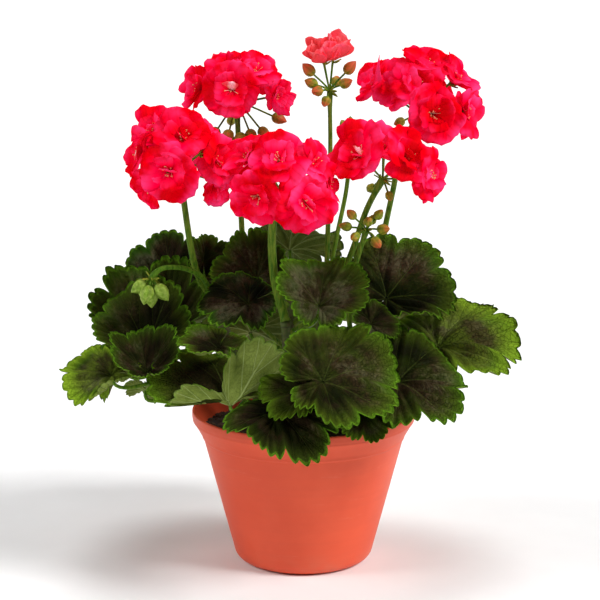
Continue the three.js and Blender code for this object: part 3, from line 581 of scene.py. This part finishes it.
# Meshes
def make_mesh(name, points, faces, materials, kinds=None, attributes=None, edges=()):
    """A mesh from points in millimetres; kinds are the materials of its faces."""
    mesh = bpy.data.meshes.new(name)
    mesh.from_pydata((np.asarray(points) * MM).tolist(), edges, faces)
    for material in materials:
        mesh.materials.append(material)
    if kinds is not None:
        mesh.polygons.foreach_set("material_index", np.array(kinds, np.int32))
    for key, values in (attributes or {}).items():
        values = np.asarray(values, np.float32)
        flat = values.ndim == 1
        layer = mesh.attributes.new(key, "FLOAT" if flat else "FLOAT_VECTOR", "POINT")
        layer.data.foreach_set("value" if flat else "vector", values.ravel())
    mesh.shade_smooth()
    return mesh


def applied(name, thing, modifier):
    """The plain mesh that a modifier gives; the thing that had it goes."""
    result = bpy.data.meshes.new_from_object(thing.evaluated_get(bpy.context.evaluated_depsgraph_get()))
    thing.modifiers.remove(modifier)
    bpy.data.objects.remove(thing)
    result.name = name
    return result


def join(name, meshes):
    """One object from several meshes, each with its own materials."""
    objects = [add_object(name if i == 0 else f"{name}_part{i}", mesh) for i, mesh in enumerate(meshes)]
    if len(objects) > 1:
        with bpy.context.temp_override(active_object=objects[0], object=objects[0],
                                       selected_objects=objects, selected_editable_objects=objects):
            bpy.ops.object.join()
    return objects[0]


def place_piece(piece, node):
    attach(piece, "root")
    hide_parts(node)


def grid_faces(rows, columns, start=0, closed=False):
    """Quads of a grid of points, row after row."""
    faces = []
    for i in range(rows - 1):
        row = start + i * columns
        for j in range(columns if closed else columns - 1):
            k = (j + 1) % columns
            faces.append([row + j, row + k, row + columns + k, row + columns + j])
    return faces


def closed_sheet(upper, rim, count):
    """Faces of a thin sheet: its upper side, its lower side count points later, and its edge."""
    lower = [[k + count for k in face[::-1]] for face in upper]
    return upper + lower + [[b, a, a + count, b + count] for a, b in zip(rim, rim[1:] + rim[:1])]


def closed_grid(rows, columns):
    """Faces of a thin sheet whose two sides are grids."""
    count = rows * columns
    rim = list(range(columns)) + [i * columns + columns - 1 for i in range(1, rows)]
    rim += [count - 1 - j for j in range(1, columns)] + [i * columns for i in range(rows - 2, 0, -1)]
    return closed_sheet(grid_faces(rows, columns), rim, count)


def across_sheet(points):
    """Unit directions square to a grid of points."""
    normal = np.cross(np.gradient(points, axis=0), np.gradient(points, axis=1))
    return normal / (np.linalg.norm(normal, axis=-1, keepdims=True) + 1e-12)


def lathe(profile, sides):
    """A surface turned about the upright axis; the profile starts and ends on it."""
    inner = profile[1:-1]
    angles = np.arange(sides) * 2 * math.pi / sides
    rings = [(r * math.cos(a), r * math.sin(a), z) for r, z in inner for a in angles]
    points = [(0, 0, profile[0][1]), *rings, (0, 0, profile[-1][1])]
    faces = grid_faces(len(inner), sides, 1, closed=True)
    last = len(points) - 1
    for j in range(sides):
        k = (j + 1) % sides
        faces.append([0, 1 + k, 1 + j])
        faces.append([last, last - sides + j, last - sides + k])
    return np.array(points), faces


# Geometry trees
def new_tree(name, sockets):
    """An empty geometry tree and its named inputs, each of a kind and with a value."""
    tree = bpy.data.node_groups.new(name, "GeometryNodeTree")
    tree.interface.new_socket("Geometry", in_out="INPUT", socket_type="NodeSocketGeometry")
    tree.interface.new_socket("Geometry", in_out="OUTPUT", socket_type="NodeSocketGeometry")
    for label, (kind, value) in {**sockets, "Material": ("Material", None)}.items():
        socket = tree.interface.new_socket(label, in_out="INPUT", socket_type="NodeSocket" + kind)
        if value is not None:
            socket.default_value = value
    entry = tree.nodes.new("NodeGroupInput")
    return tree, {socket.name: Value(tree, socket) for socket in entry.outputs if socket.name}


def step_in(tree, kind, values, output=0, **settings):
    return add_node(tree, "GeometryNode" + kind, settings, values, output)


def mark_of(tree, label, kind="FLOAT"):
    return step_in(tree, "InputNamedAttribute", {"Name": label}, data_type=kind)


def end_tree(tree, geometry, material):
    plain = step_in(tree, "RealizeInstances", {"Geometry": geometry})
    smooth = step_in(tree, "SetShadeSmooth", {"Geometry": plain})
    painted = step_in(tree, "SetMaterial", {"Geometry": smooth, "Material": material})
    tree.links.new(painted.socket, tree.nodes.new("NodeGroupOutput").inputs[0])
    return tree


def tube_tree():
    """A round tube along every chain of edges, as thick as the points say."""
    tree, entry = new_tree("tube", {"Sides": ("Int", 8)})
    line = step_in(tree, "MeshToCurve", {"Mesh": entry["Geometry"]})
    ring = step_in(tree, "CurvePrimitiveCircle", {"Resolution": entry["Sides"], "Radius": 1.0})
    skin = step_in(tree, "CurveToMesh", {
        "Curve": line, "Profile Curve": ring, "Scale": mark_of(tree, "thickness"), "Fill Caps": True})
    return end_tree(tree, skin, entry["Material"])


def plant_tree():
    """A copy of a small shape on every point, aimed and sized by the point."""
    tree, entry = new_tree("planted_copies", {"Shape": ("Object", None)})
    aim = {"Vector": mark_of(tree, "aim", "FLOAT_VECTOR")}
    turn = add_node(tree, "FunctionNodeAlignRotationToVector", {"axis": "Z"}, aim)
    shape = step_in(tree, "ObjectInfo", {"Object": entry["Shape"]}, "Geometry")
    copies = step_in(tree, "InstanceOnPoints", {
        "Points": entry["Geometry"], "Instance": shape, "Rotation": turn,
        "Scale": mark_of(tree, "size", "FLOAT_VECTOR")})
    return end_tree(tree, copies, entry["Material"])


def crumb_tree():
    """Small rough crumbs scattered over the top of the compost."""
    tree, entry = new_tree("scattered_crumbs", {
        "Density": ("Float", 90000.0), "Smallest": ("Float", 0.0005), "Largest": ("Float", 0.0019),
        "Seed": ("Int", 4)})
    seed = {"Seed": entry["Seed"]}
    spots = step_in(tree, "DistributePointsOnFaces", {
        "Mesh": entry["Geometry"], "Selection": mark_of(tree, "top"), "Density": entry["Density"], **seed})
    crumb = step_in(tree, "MeshIcoSphere", {"Radius": 1.0, "Subdivisions": 1})
    size = add_node(tree, "FunctionNodeRandomValue", {"data_type": "FLOAT"},
                    {2: entry["Smallest"], 3: entry["Largest"], **seed}, 1)
    turn = add_node(tree, "FunctionNodeRandomValue", {"data_type": "FLOAT_VECTOR"},
                    {0: (0, 0, 0), 1: (6.3, 6.3, 6.3), **seed})
    copies = step_in(tree, "InstanceOnPoints",
                     {"Points": spots, "Instance": crumb, "Rotation": turn, "Scale": size})
    return end_tree(tree, copies, entry["Material"])


def grow(name, mesh, tree, settings):
    """Runs a geometry tree on a mesh and gives its result as a plain mesh."""
    source = add_object(name + "_source", mesh)
    modifier = source.modifiers.new("grow", "NODES")
    modifier.node_group = tree
    for item in tree.interface.items_tree:
        if item.in_out == "INPUT" and item.name in settings:
            modifier[item.identifier] = settings[item.name]
    return applied(name, source, modifier)


def tubes(name, lines, sides, material):
    """Tubes along lines of (points, radii, flush); course holds the share of the way and the flush."""
    course = []
    radii = []
    edges = []
    for way, radius, flush in lines:
        start = sum(len(part) for part in radii)
        count = len(way)
        flushes = np.broadcast_to(flush, count)
        radii.append(np.broadcast_to(radius, count) * MM)
        course.append(np.stack([0 * flushes, np.linspace(0, 1, count), flushes], axis=1))
        edges += [(start + i, start + i + 1) for i in range(count - 1)]
    marks = {"thickness": np.concatenate(radii), "course": np.vstack(course)}
    mesh = make_mesh(name, np.vstack([line[0] for line in lines]), [], [], attributes=marks, edges=edges)
    return grow(name, mesh, TUBE_TREE, {"Sides": sides, "Material": material})


def planted(name, shape, places, material):
    """Copies of a shape at places of (point, aim, size, flush)."""
    points, aims, sizes, flushes = zip(*places)
    sizes = [np.broadcast_to(np.array(size, float) * MM, 3) for size in sizes]
    marks = {"aim": aims, "size": sizes, "own": [(0, 0, flush) for flush in flushes]}
    mesh = make_mesh(name, points, [], [], attributes=marks)
    return grow(name, mesh, PLANT_TREE, {"Shape": shape, "Material": material})


# Pot
def pot_outer_radius(z):
    share = (z - POT.corner_radius) / (POT.band_height - POT.corner_radius)
    return POT.wall_start + (POT.band_radius - POT.wall_start) * share


def arc(start, corner, end, count):
    t = np.linspace(0, 1, count)[:, None]
    a, b, c = (np.array(p, float) for p in (start, corner, end))
    return (a * (1 - t) ** 2 + 2 * b * t * (1 - t) + c * t ** 2).tolist()


def pot_profile():
    """Radius and height round the wall, from under the floor, up the outside and down the inside."""
    foot, corner, start = POT.foot_radius, POT.corner_radius, POT.wall_start
    band, band_r, ridge, ridge_r = POT.band_height, POT.band_radius, POT.ridge_height, POT.ridge_radius
    lip, top, wall, floor = POT.lip_radius, POT.height, POT.wall, POT.floor
    underside = [(0, 0.6), (29, 0.6), (30, 0.1), (30.6, 0), (34, 0)]
    rounded_foot = arc((foot - 0.5, 0), (start - 1.2, 0.6), (start, corner), 10)
    outside = [(pot_outer_radius(z), z) for z in np.linspace(12, band - 1.4, 12)]
    raised_line = arc((band_r - 0.2, band - 0.8), (band_r + 0.9, band), (band_r + 0.7, band + 0.9), 6)
    flare = [(64.6, 82.5), (66.6, 86), (68.5, 89.2)]
    raised_ridge = arc((ridge_r - 0.2, ridge - 0.9), (lip - 0.1, ridge - 0.1), (lip - 0.3, ridge + 0.7), 5)
    rolled_lip = arc((lip - 0.25, ridge + 1.2), (lip, ridge + 1.4), (lip, ridge + 2.2), 3)
    rolled_lip += arc((lip, top - 1.3), (lip, top), (lip - 0.85, top), 5)
    rolled_lip += arc((lip - 1, top), (lip - wall, top), (lip - wall, top - 0.9), 5)
    inside = [(ridge_r - wall, ridge), (band_r - wall, band)]
    inside += [(pot_outer_radius(z) - wall, z) for z in np.linspace(72, corner + 1, 6)]
    inside += arc((pot_outer_radius(corner) - wall, corner), (start - 3, floor), (foot, floor), 6)
    inside += [(30, floor), (0, floor)]
    return underside + rounded_foot + outside + raised_line + flare + raised_ridge + rolled_lip + inside


def make_pot():
    """Thin moulded pot with a rounded foot, a fine raised line, a ridge and a rolled lip."""
    pot = add_object("pot_shell", make_mesh("pot_shell", *lathe(pot_profile(), POT.sides), [TERRACOTTA]))
    radius = DRAIN_HOLES.radius
    points = []
    faces = []
    for i in range(DRAIN_HOLES.count):
        turn = 2 * math.pi * (i + 0.5) / DRAIN_HOLES.count
        hole, sides = lathe([(0, -3), (radius, -3), (radius, 6), (0, 6)], DRAIN_HOLES.sides)
        faces += [[len(points) + k for k in face] for face in sides]
        points += (hole + np.array([math.cos(turn), math.sin(turn), 0]) * DRAIN_HOLES.circle).tolist()
    drill = add_object("drain_drill", make_mesh("drain_drill", points, faces, []))
    cut = pot.modifiers.new("drain_holes", "BOOLEAN")
    cut.object = drill
    cut.operation = "DIFFERENCE"
    cut.solver = "EXACT"
    shell = applied("pot_shell", pot, cut)
    bpy.data.objects.remove(drill)
    place_piece(add_object("pot_shell", shell), "pot")


# Compost
def make_soil():
    """Crumbly compost that sags a little to the wall of the pot."""
    crown = SOIL.top + 1
    side = [(0, 2.7), (33, 2.7), (pot_outer_radius(9) - 2.2, 9), (60.8, 79.9), (63.6, 83.9)]
    top = [(r, crown - SOIL.sag * (r / 63.6) ** 2) for r in np.linspace(62, 1.5, 40)]
    points, faces = lathe(side + top + [(0, crown)], SOIL.sides)
    x, y, z = points.T
    upper = (z > SOIL.top - 1.05) & (np.hypot(x, y) < SOIL.radius)
    lump = SOIL.lump * (np.sin(0.31 * x + 0.9) * np.cos(0.27 * y) + 0.6 * np.sin(0.53 * x - 0.47 * y))
    fine = 0.35 * np.sin(1.3 * x + 0.7 * y) * np.sin(1.1 * y - 0.4 * x)
    fine += 0.25 * np.sin(2.3 * x) * np.cos(2.1 * y)
    inward = np.clip((SOIL.radius - np.hypot(x, y)) / SOIL.level_rim, 0, 1)
    points[:, 2] = np.where(upper, z + (lump + fine) * inward, z)
    compost = make_mesh("compost", points, faces, [PEAT], attributes={"top": upper})
    crumbs = grow("crumbs", compost.copy(), crumb_tree(), {"Material": PEAT_CRUMB})
    place_piece(join("compost", [compost, crumbs]), "soil")


# Stem
def make_stem():
    """Branches with swollen joints where leaves grow."""
    share = np.linspace(0, 1, 41)
    swell = STEM.joint * np.clip(np.sin(share * 34) - 0.6, 0, 1) / 0.4
    radii = stem_radius(share) * STEM.skin + swell
    radii[-1] = 1.2
    lines = [(path[np.round(share * 100).astype(int)], radii, 0.3) for path in BRANCH_PATHS]
    place_piece(add_object("woody_stem", tubes("woody_stem", lines, 16, WOOD)), "branching_stem")


# Leaves
def lobe_run(angle):
    """How many lobes lie between the cut at the leaf stalk and an angle."""
    return (angle + BLADE_END) / (2 * BLADE_END) * LEAF.lobes


def lobe_side(angle):
    """0 on the main vein of a lobe and 1 at the cut beside it."""
    return np.abs(2 * (lobe_run(angle) % 1) - 1)


def outline_radius(angle, extras, teeth=0.0):
    lobe = 1 - LEAF.lobe_depth * lobe_side(angle) ** 4
    basal = 1 - extras.get("basal", LEAF.basal_shrink) * ((1 - np.cos(angle)) / 2) ** 1.5
    tooth = 1 - teeth * np.abs(2 * ((lobe_run(angle) * LEAF.teeth) % 1) - 1) ** 2.2
    radius = lobe * basal * tooth
    for direction, share in extras.get("trims", []):
        radius = radius * (1 - share * np.maximum(0, np.cos(angle - math.radians(direction))) ** 8)
    return radius


def vein_distance(side, share):
    """Distance to the nearest vein of each order, in units of the leaf's radius."""
    away = side * LOBE_HALF_ANGLE
    kinds = [away * share]
    for start, spread in SIDE_VEINS:
        way = spread * (1 - start / np.maximum(share, start))
        kinds.append(np.where(share > start, np.abs(away - way) * share, kinds[0]))
    return kinds


def leaf_relief(index, extras, angle, share, rho, nearest):
    """Pleats towards the cuts, cushions between the veins, a crimped rim and low blisters."""
    phase = index * GOLDEN_ANGLE
    across = rho * np.sin(angle)
    along = rho * np.cos(angle)
    pleats = LEAF.pleat * rho * lobe_side(angle) ** 1.5
    swelling = 1 - np.exp(-(nearest / LEAF.quilt_reach) ** 2)
    cushions = LEAF.quilt * swelling * np.minimum(share * 3, 1)
    crimp = LEAF.crimp * share ** 6 * np.sin(lobe_run(angle) * 3 * math.pi + index)
    blisters = np.sin(6.1 * along + 3.7 * across + phase) + np.sin(4.3 * along - 6.8 * across + 2 * phase)
    return (pleats + cushions) * (1 - extras.get("calm", 0)) + crimp + LEAF.blister * share * blisters


def leaf_form(extras, index, rho, angle, relief=0.0):
    """The blade's middle surface in units of its radius: x to the tip, z to the upper side."""
    x = rho * np.cos(angle)
    y = rho * np.sin(angle)
    phase = index * GOLDEN_ANGLE
    funnel = LEAF.funnel * rho / (rho + LEAF.funnel_reach)
    waves = LEAF.ruffle * rho ** 2 * (np.sin(3 * angle + phase) + 0.6 * rho * np.sin(5 * angle - phase))
    sides = extras.get("fold", 0) * (np.hypot(y, LEAF.fold_width) - LEAF.fold_width)
    bowl = (2 * extras.get("cup", 0) - LEAF.droop) * rho ** 2
    z = funnel + waves + sides + bowl + relief
    for direction, start, stop, turn in extras.get("bends", []):
        c = math.cos(math.radians(direction))
        s = math.sin(math.radians(direction))
        reach = x * c + y * s - start
        curvature = math.radians(turn) / (stop - start)
        curved = np.clip(reach, 0, stop - start)
        straight = np.maximum(reach, 0) - curved
        sine = np.sin(curvature * curved)
        cosine = np.cos(curvature * curved)
        forward = sine / curvature + straight * cosine - z * sine
        past = reach > 0
        x = np.where(past, x + c * (forward - reach), x)
        y = np.where(past, y + s * (forward - reach), y)
        z = np.where(past, (1 - cosine) / curvature + straight * sine + z * cosine, z)
    return np.stack([x, y, z], axis=-1)


def leaf_axes(face, tip):
    azimuth, height = face
    turn = math.radians(tip)
    normal = direction_of(*face)
    downhill = direction_of(azimuth, height - 90)
    point = downhill * math.cos(turn) + np.cross(normal, downhill) * math.sin(turn)
    return np.array([point, np.cross(normal, point), normal])


def from_hub(grid):
    """The points of a grid, with its first row as one point."""
    return np.vstack([grid[:1, 0], grid[1:].reshape(-1, 3)])


def leaf_blade(index, name, hub, radius, axes, extras):
    """A scalloped blade with sunken veins above and raised ones below."""
    columns = LEAF.lobes * LEAF.lobe_columns + 1
    rows = len(BLADE_SHARES) - 1
    angle, share = np.meshgrid(np.linspace(-BLADE_END, BLADE_END, columns), BLADE_SHARES)
    rho = share * outline_radius(angle, extras, LEAF.tooth_depth * share ** 3)
    main, first, second = vein_distance(lobe_side(angle), share)
    forks = np.minimum(first, second)
    relief = leaf_relief(index, extras, angle, share, rho, np.minimum(main, forks))
    middle = leaf_form(extras, index, rho, angle, relief) @ axes * radius + hub
    normal = across_sheet(middle)
    normal[0] = axes[2]
    vein = np.clip(1 - main / (LEAF.main_vein - 0.014 * share), 0, 1) * (1 - 0.6 * share)
    vein = np.maximum(vein, 0.5 * np.clip(1 - forks / LEAF.side_vein, 0, 1))
    half = LEAF.half * (1 - LEAF.thin_rim * share ** 5)
    above = middle + normal * (half - LEAF.groove * vein)[..., None]
    below = middle - normal * (half + LEAF.rib * vein)[..., None]
    tone = index + extras.get("fresh", 0.03 + 0.2 * ((index * 0.618) % 1))
    marks = np.stack([angle / BLADE_END, share, np.full_like(share, tone)], axis=-1)
    marks[0] *= [0, 1, 1]
    upper = grid_faces(rows, columns, 1) + [[0, 1 + j, 2 + j] for j in range(columns - 1)]
    edge = [1 + i * columns for i in range(rows)]
    rim = [0] + edge + [edge[-1] + j for j in range(1, columns)] + [k + columns - 1 for k in edge[-2::-1]]
    faces = closed_sheet(upper, rim, 1 + rows * columns)
    kinds = [0] * len(upper) + [1] * len(upper) + [0] * len(rim)
    points = np.vstack([from_hub(above), from_hub(below)])
    marks = np.vstack([from_hub(marks)] * 2)
    return make_mesh(name, points, faces, [LEAF_UPPER, LEAF_UNDER], kinds, {"blade": marks})


def leaf_stalk(index, name, hub, radius, axes, stem, extras):
    """The leaf's own stalk, from its branch to the underside of the blade."""
    turns = np.array([-LOBE_HALF_ANGLE, LOBE_HALF_ANGLE])
    ring = leaf_form(extras, index, LEAF.inner_ring * outline_radius(turns, extras), turns)
    joint = hub + ring.mean(axis=0) @ axes * radius * LEAF_STALK.inward - axes[2] * LEAF_STALK.below
    axis = branch_point(*stem)
    span = np.linalg.norm(joint - axis)
    outward = unit(joint[:2] - axis[:2])
    outward = unit(np.array([*outward, LEAF_STALK.steepness]))
    root = axis + outward * (stem_radius(stem[1]) - LEAF_STALK.sunk)
    way = bezier(root, root + outward * LEAF_STALK.leave * span,
                 joint - axes[2] * LEAF_STALK.arrive * span, joint, LEAF_STALK.steps)
    share = np.linspace(0, 1, len(way))
    radii = LEAF_STALK.root_radius + (LEAF_STALK.tip_radius - LEAF_STALK.root_radius) * share
    radii[:2] += LEAF_STALK.foot_swell
    return tubes(name, [(way, radii, 0.5 * (1 - share))], 10, GREEN_STALK)


def make_leaf(index, name, at, radius, face, tip, stem, extras):
    hub = np.array(at, float)
    axes = leaf_axes(face, tip)
    blade = leaf_blade(index, f"leaf_{name}", hub, radius, axes, extras)
    stalk = leaf_stalk(index, f"leaf_{name}_stalk", hub, radius, axes, stem, extras)
    place_piece(join(f"leaf_{name}", [blade, stalk]), f"leaf_{name}")


# Petals
def petal_surface(floret_axes, heart, turn, length, width, slope, curl, draw):
    """A petal with a narrow foot, a rounded ruffled end and edges that lap over the next petal."""
    across, up, axis = floret_axes
    u, v = np.meshgrid(np.linspace(-1, 1, PETAL.columns), np.linspace(0, 1, PETAL.rows))
    v = v * (1 - 0.16 * u ** 2 * v)
    steep = slope + curl * (1 - 2 * np.linspace(0, 1, 40))
    fine = np.linspace(0, 1, 41)
    out = np.concatenate([[0], np.cumsum(np.cos(steep))]) / 40
    rise = np.concatenate([[0], np.cumsum(np.sin(steep))]) / 40
    half = width * (0.16 + 0.9 * np.sin(np.clip(v, 0, 1) ** 1.15 * math.pi * 0.74) ** 1.1)
    notch = PETAL.notch * np.exp(-(u / 0.22) ** 2) * v ** 6 * draw.uniform(-0.4, 1.2)
    r = (np.interp(v, fine, out) - notch) * length + PETAL.foot
    z = np.interp(v, fine, rise) * length
    phases = draw.uniform(0, 6.28, 3)
    ruffle = np.sin(2.6 * u + phases[0]) * PETAL.ruffle + np.sin(6.5 * u + phases[1]) * PETAL.crinkle
    z += length * v ** 2 * ruffle + length * PETAL.lap * u * v
    z -= length * PETAL.arch * u ** 2 * v * draw.uniform(-0.3, 1.0)
    r += length * PETAL.fray * np.sin(9 * u + phases[2]) * v ** 4
    outward = math.cos(turn) * across + math.sin(turn) * up
    sideways = -math.sin(turn) * across + math.cos(turn) * up
    place = heart + r[..., None] * outward + (half * u)[..., None] * sideways + z[..., None] * axis
    return place, u, v


def petal_shell(middle, u, v, pale):
    """Both sides of a petal and its thin edge, as points, faces and marks."""
    normal = -across_sheet(middle)
    points = [middle + side * PETAL.half * normal for side in (1, -1)]
    marks = np.stack([u, v, np.full_like(u, pale)], axis=-1)
    return np.reshape(points, (-1, 3)), closed_grid(*u.shape), np.reshape([marks, marks], (-1, 3))


def floret_way(azimuth, height):
    """The way of a floret's own stalk, and the axes of its flat: across, up and out."""
    away = direction_of(azimuth, height)
    axis = unit(away + COROLLA.sunward)
    across = unit(np.cross(UP, axis))
    return away, (across, np.cross(axis, across), axis)


def make_floret(hub, floret, index, draw, pale):
    """Broad outer petals, a loose inner ring and a few curled ones; gives their shells."""
    azimuth, height, radius, reach, openness = floret
    away, axes = floret_way(azimuth, height)
    heart = hub + away * reach
    is_open = openness > 0
    slope = math.atan(COROLLA.depth * (COROLLA.flat - openness))
    curl = math.radians(34 if is_open else -16)
    # Rings of petals: count, length, width, slope and turn
    if is_open:
        rings = [(5, 1.1, 0.64, slope, 0), (4, 0.78, 0.5, slope + 0.4, 0.6),
                 (2, 0.5, 0.34, slope + 0.8, 0.2)]
    else:
        rings = [(5, 1.3, 0.7, 1.15, 0), (4, 1.05, 0.55, 1.35, 0.6)]
    shells = []
    for ring, (count, long, wide, tilt, shift) in enumerate(rings):
        for i in range(count):
            turn = index * GOLDEN_ANGLE + math.pi / 5 + (i + shift) * 2 * math.pi / count
            turn += draw.uniform(-0.2, 0.2)
            length = radius * long * draw.uniform(0.88, 1.06) / (1.0 if is_open else 1.15)
            lean = tilt + draw.uniform(-0.22, 0.22)
            bend = curl * draw.uniform(0.7, 1.3)
            length = length / max(math.cos(lean), 0.62) if ring == 0 and is_open else length * 1.15
            place, u, v = petal_surface(axes, heart, turn, length, radius * wide, lean, bend, draw)
            share = pale if ring == len(rings) - 1 and i == 0 else draw.uniform(0, 0.12)
            shells.append(petal_shell(place, u, v, share if is_open else 0.5))
    return shells


def merged(shells):
    """Points, faces and marks of several shells as one."""
    starts = np.cumsum([0] + [len(shell[0]) for shell in shells])
    points, faces, marks = zip(*shells)
    faces = [[start + k for k in face] for start, part in zip(starts.tolist(), faces) for face in part]
    return np.vstack(points), faces, np.vstack(marks)


def stamen_lines(hub, floret, draw):
    """Pale filaments and the places of their anthers."""
    azimuth, height, radius, reach, _ = floret
    away, (across, up, axis) = floret_way(azimuth, height)
    heart = hub + away * reach
    lines = []
    tips = []
    for i in range(STAMENS.count):
        turn = i * 2 * math.pi / STAMENS.count + draw.uniform(-0.3, 0.3)
        out = math.cos(turn) * across + math.sin(turn) * up
        long = radius * draw.uniform(0.34, 0.5)
        root = heart + axis * 0.4 + out * 0.4
        tip = heart + axis * long + out * long * draw.uniform(0.25, 0.6)
        way = bezier(root, root + axis * long * 0.5, tip - axis * long * 0.2, tip, 4)
        lines.append((way, STAMENS.radius, 0.0))
        tips.append(tip)
    return lines, tips


# Buds, calyxes and anthers
def bud_shape():
    """A pointed bud of five closed sepals, one unit long, on the upright axis."""
    sides = 15
    profile = [(0, -0.02), (0.1, 0), (0.21, 0.05), (0.32, 0.16), (0.375, 0.36), (0.34, 0.58), (0.23, 0.78),
               (0.11, 0.92), (0.03, 1), (0, 1.02)]
    points, faces = lathe(profile, sides)
    groove = np.zeros(len(points))
    groove[1:-1:3] = 1
    points[:, :2] *= (1 - 0.12 * groove)[:, None]
    marks = np.stack([np.clip(points[:, 2], 0, 1), groove, 0 * groove], axis=1)
    return points / MM, faces, marks


def leaflet_shape():
    """A narrow pointed sepal or bract, one unit long, that leaves the upright axis."""
    v, u = np.meshgrid(np.linspace(0, 1, 6), [-1, 0, 1], indexing="ij")
    half = 0.2 * np.sin(math.pi * (0.12 + 0.85 * v)) ** 0.8
    lean = v * 0.45 + 0.1 * abs(u)
    sides = [np.stack([lean - side, half * u, v + side], axis=-1) for side in (0.03, -0.03)]
    marks = np.stack([v, 1 - abs(u), 0 * v], axis=-1)
    return np.reshape(sides, (-1, 3)) / MM, closed_grid(*u.shape), np.reshape([marks, marks], (-1, 3))


def anther_shape():
    points, faces = lathe([(0, -1), (0.7, -0.6), (1, 0), (0.7, 0.6), (0, 1)], 6)
    return points / MM, faces, np.zeros((len(points), 3))


def shape_object(name, points, faces, marks):
    made = add_object(name, make_mesh(name, points, faces, [], attributes={"sepal": marks}))
    made.hide_render = True
    return made


def planted_buds(name, shape, places):
    """Buds or leaflets, each with its own flush added to the marks that its shape carries."""
    mesh = planted(name, shape, places, BUD_SKIN)
    marks = np.zeros((2, len(mesh.vertices) * 3), np.float32)
    for row, key in zip(marks, ("sepal", "own")):
        mesh.attributes[key].data.foreach_get("vector", row)
    mesh.attributes["sepal"].data.foreach_set("vector", marks[0] + marks[1])
    return mesh


# Flower heads
def head_greens(index, name, hub, stem, via, radii, ripe, florets, buds, draw):
    """The stalk of a head, with its flower stalks, calyxes, bracts and buds."""
    top = hub.copy()
    if florets:
        top[2] -= 2 * KNOT.height * KNOT.width * radii[1] + KNOT.gap
    way = smooth_path([branch_point(*stem), *via, top], HEAD_STALK.steps)
    thick = radii[0] + (radii[1] - radii[0]) * np.linspace(0, 1, len(way))
    thick[0] += HEAD_STALK.foot_swell
    thick[-4:] += HEAD_STALK.top_swell
    lines = [(way, thick, 0.15 + 0.6 * ripe)]
    leaflets = []
    for azimuth, height, size, reach, _ in florets:
        away, (across, up, axis) = floret_way(azimuth, height)
        heart = hub + away * reach
        sag = bezier(top + away * 0.5, top + away * reach * 0.4, heart - axis * reach * 0.3,
                     heart - axis * 0.6, 8)
        lines.append((sag, PEDICEL.radius * np.linspace(1, PEDICEL.flare, 9), 0.5))
        for i in range(CALYX.sepals):
            turn = i * 2 * math.pi / CALYX.sepals
            out = math.cos(turn) * across + math.sin(turn) * up
            aim = unit(axis * 0.8 + out * 0.6)
            spot = heart - axis * CALYX.below + out * CALYX.out
            leaflets.append((spot, aim, CALYX.scale * size ** CALYX.power, 0.2))
    bud_places = []
    for azimuth, height, reach, length in buds:
        away = direction_of(azimuth, height)
        sag = bezier(top + away * 0.5, top + away * reach * 0.5 + UP * 0.8, top + away * reach * 0.8,
                     top + away * reach, 6)
        lines.append((sag, PEDICEL.radius, 0.4 * ripe))
        bud_places.append((top + away * reach, away, length, ripe * draw.uniform(0.6, 1.15)))
    for i in range(BRACTS.count):
        aim = direction_of(i * BRACTS.turn + index * 20, -15 + 20 * (i % 3))
        leaflets.append((top + aim - UP * 0.5, aim, BRACTS.length, 0.0))
    parts = [tubes(f"{name}_stalk", lines, 10, GREEN_STALK),
             planted_buds(f"{name}_buds", BUD_SHAPE, bud_places),
             planted_buds(f"{name}_leaflets", LEAFLET_SHAPE, leaflets)]
    place_piece(join(f"{name}_greens", parts), f"{name}_stalk")


def head_petals(name, hub, florets, draw):
    """The florets of a head, with the stamens of those that are open."""
    shells = []
    filaments = []
    anthers = []
    for i, floret in enumerate(florets):
        shells += make_floret(hub, floret, i, draw, 1.0 if i == PALE_FLORETS.get(name) else 0.1)
        if floret[4] > 0:
            lines, tips = stamen_lines(hub, floret, draw)
            filaments += lines
            anthers += [(tip, unit(draw.normal(size=3)), STAMENS.anther, 0) for tip in tips]
    points, faces, marks = merged(shells)
    parts = [make_mesh(f"{name}_petals", points, faces, [PETAL_RED], attributes={"petal": marks})]
    if filaments:
        parts.append(tubes(f"{name}_filaments", filaments, 4, FILAMENT))
        parts.append(planted(f"{name}_anthers", ANTHER_SHAPE, anthers, ANTHER))
    place_piece(join(f"{name}_petals", parts), f"{name}_florets")


def make_head(index, name, hub, stem, via, radii, ripe, florets, buds):
    draw = np.random.default_rng(100 + index)
    hub = np.array(hub, float)
    head_greens(index, name, hub, stem, via, radii, ripe, florets, buds, draw)
    if florets:
        head_petals(name, hub, florets, draw)


set_camera()
set_studio()
add_floor()
TERRACOTTA = terracotta_plastic()
PEAT = peat("peat", (30, 20, 13), (66, 46, 32))
PEAT_CRUMB = peat("peat_crumb", (36, 24, 16), (84, 60, 42))
WOOD = woody_stem()
LEAF_UPPER = leaf_upper()
LEAF_UNDER = leaf_under()
GREEN_STALK = green_stalk()
BUD_SKIN = bud_skin()
PETAL_RED = petal_red()
FILAMENT = stamen_finish("filament", (250, 190, 170), (255, 226, 205))
ANTHER = stamen_finish("anther", (206, 116, 76), (238, 170, 120))
TUBE_TREE = tube_tree()
PLANT_TREE = plant_tree()
BUD_SHAPE = shape_object("bud_shape", *bud_shape())
LEAFLET_SHAPE = shape_object("leaflet_shape", *leaflet_shape())
ANTHER_SHAPE = shape_object("anther_shape", *anther_shape())

make_pot()
make_soil()
make_stem()
for leaf_index, leaf in enumerate(LEAVES):
    make_leaf(leaf_index, *leaf)
for head_index, head in enumerate(HEADS):
    make_head(head_index, *head)
for shape in (BUD_SHAPE, LEAFLET_SHAPE, ANTHER_SHAPE):
    bpy.data.objects.remove(shape)
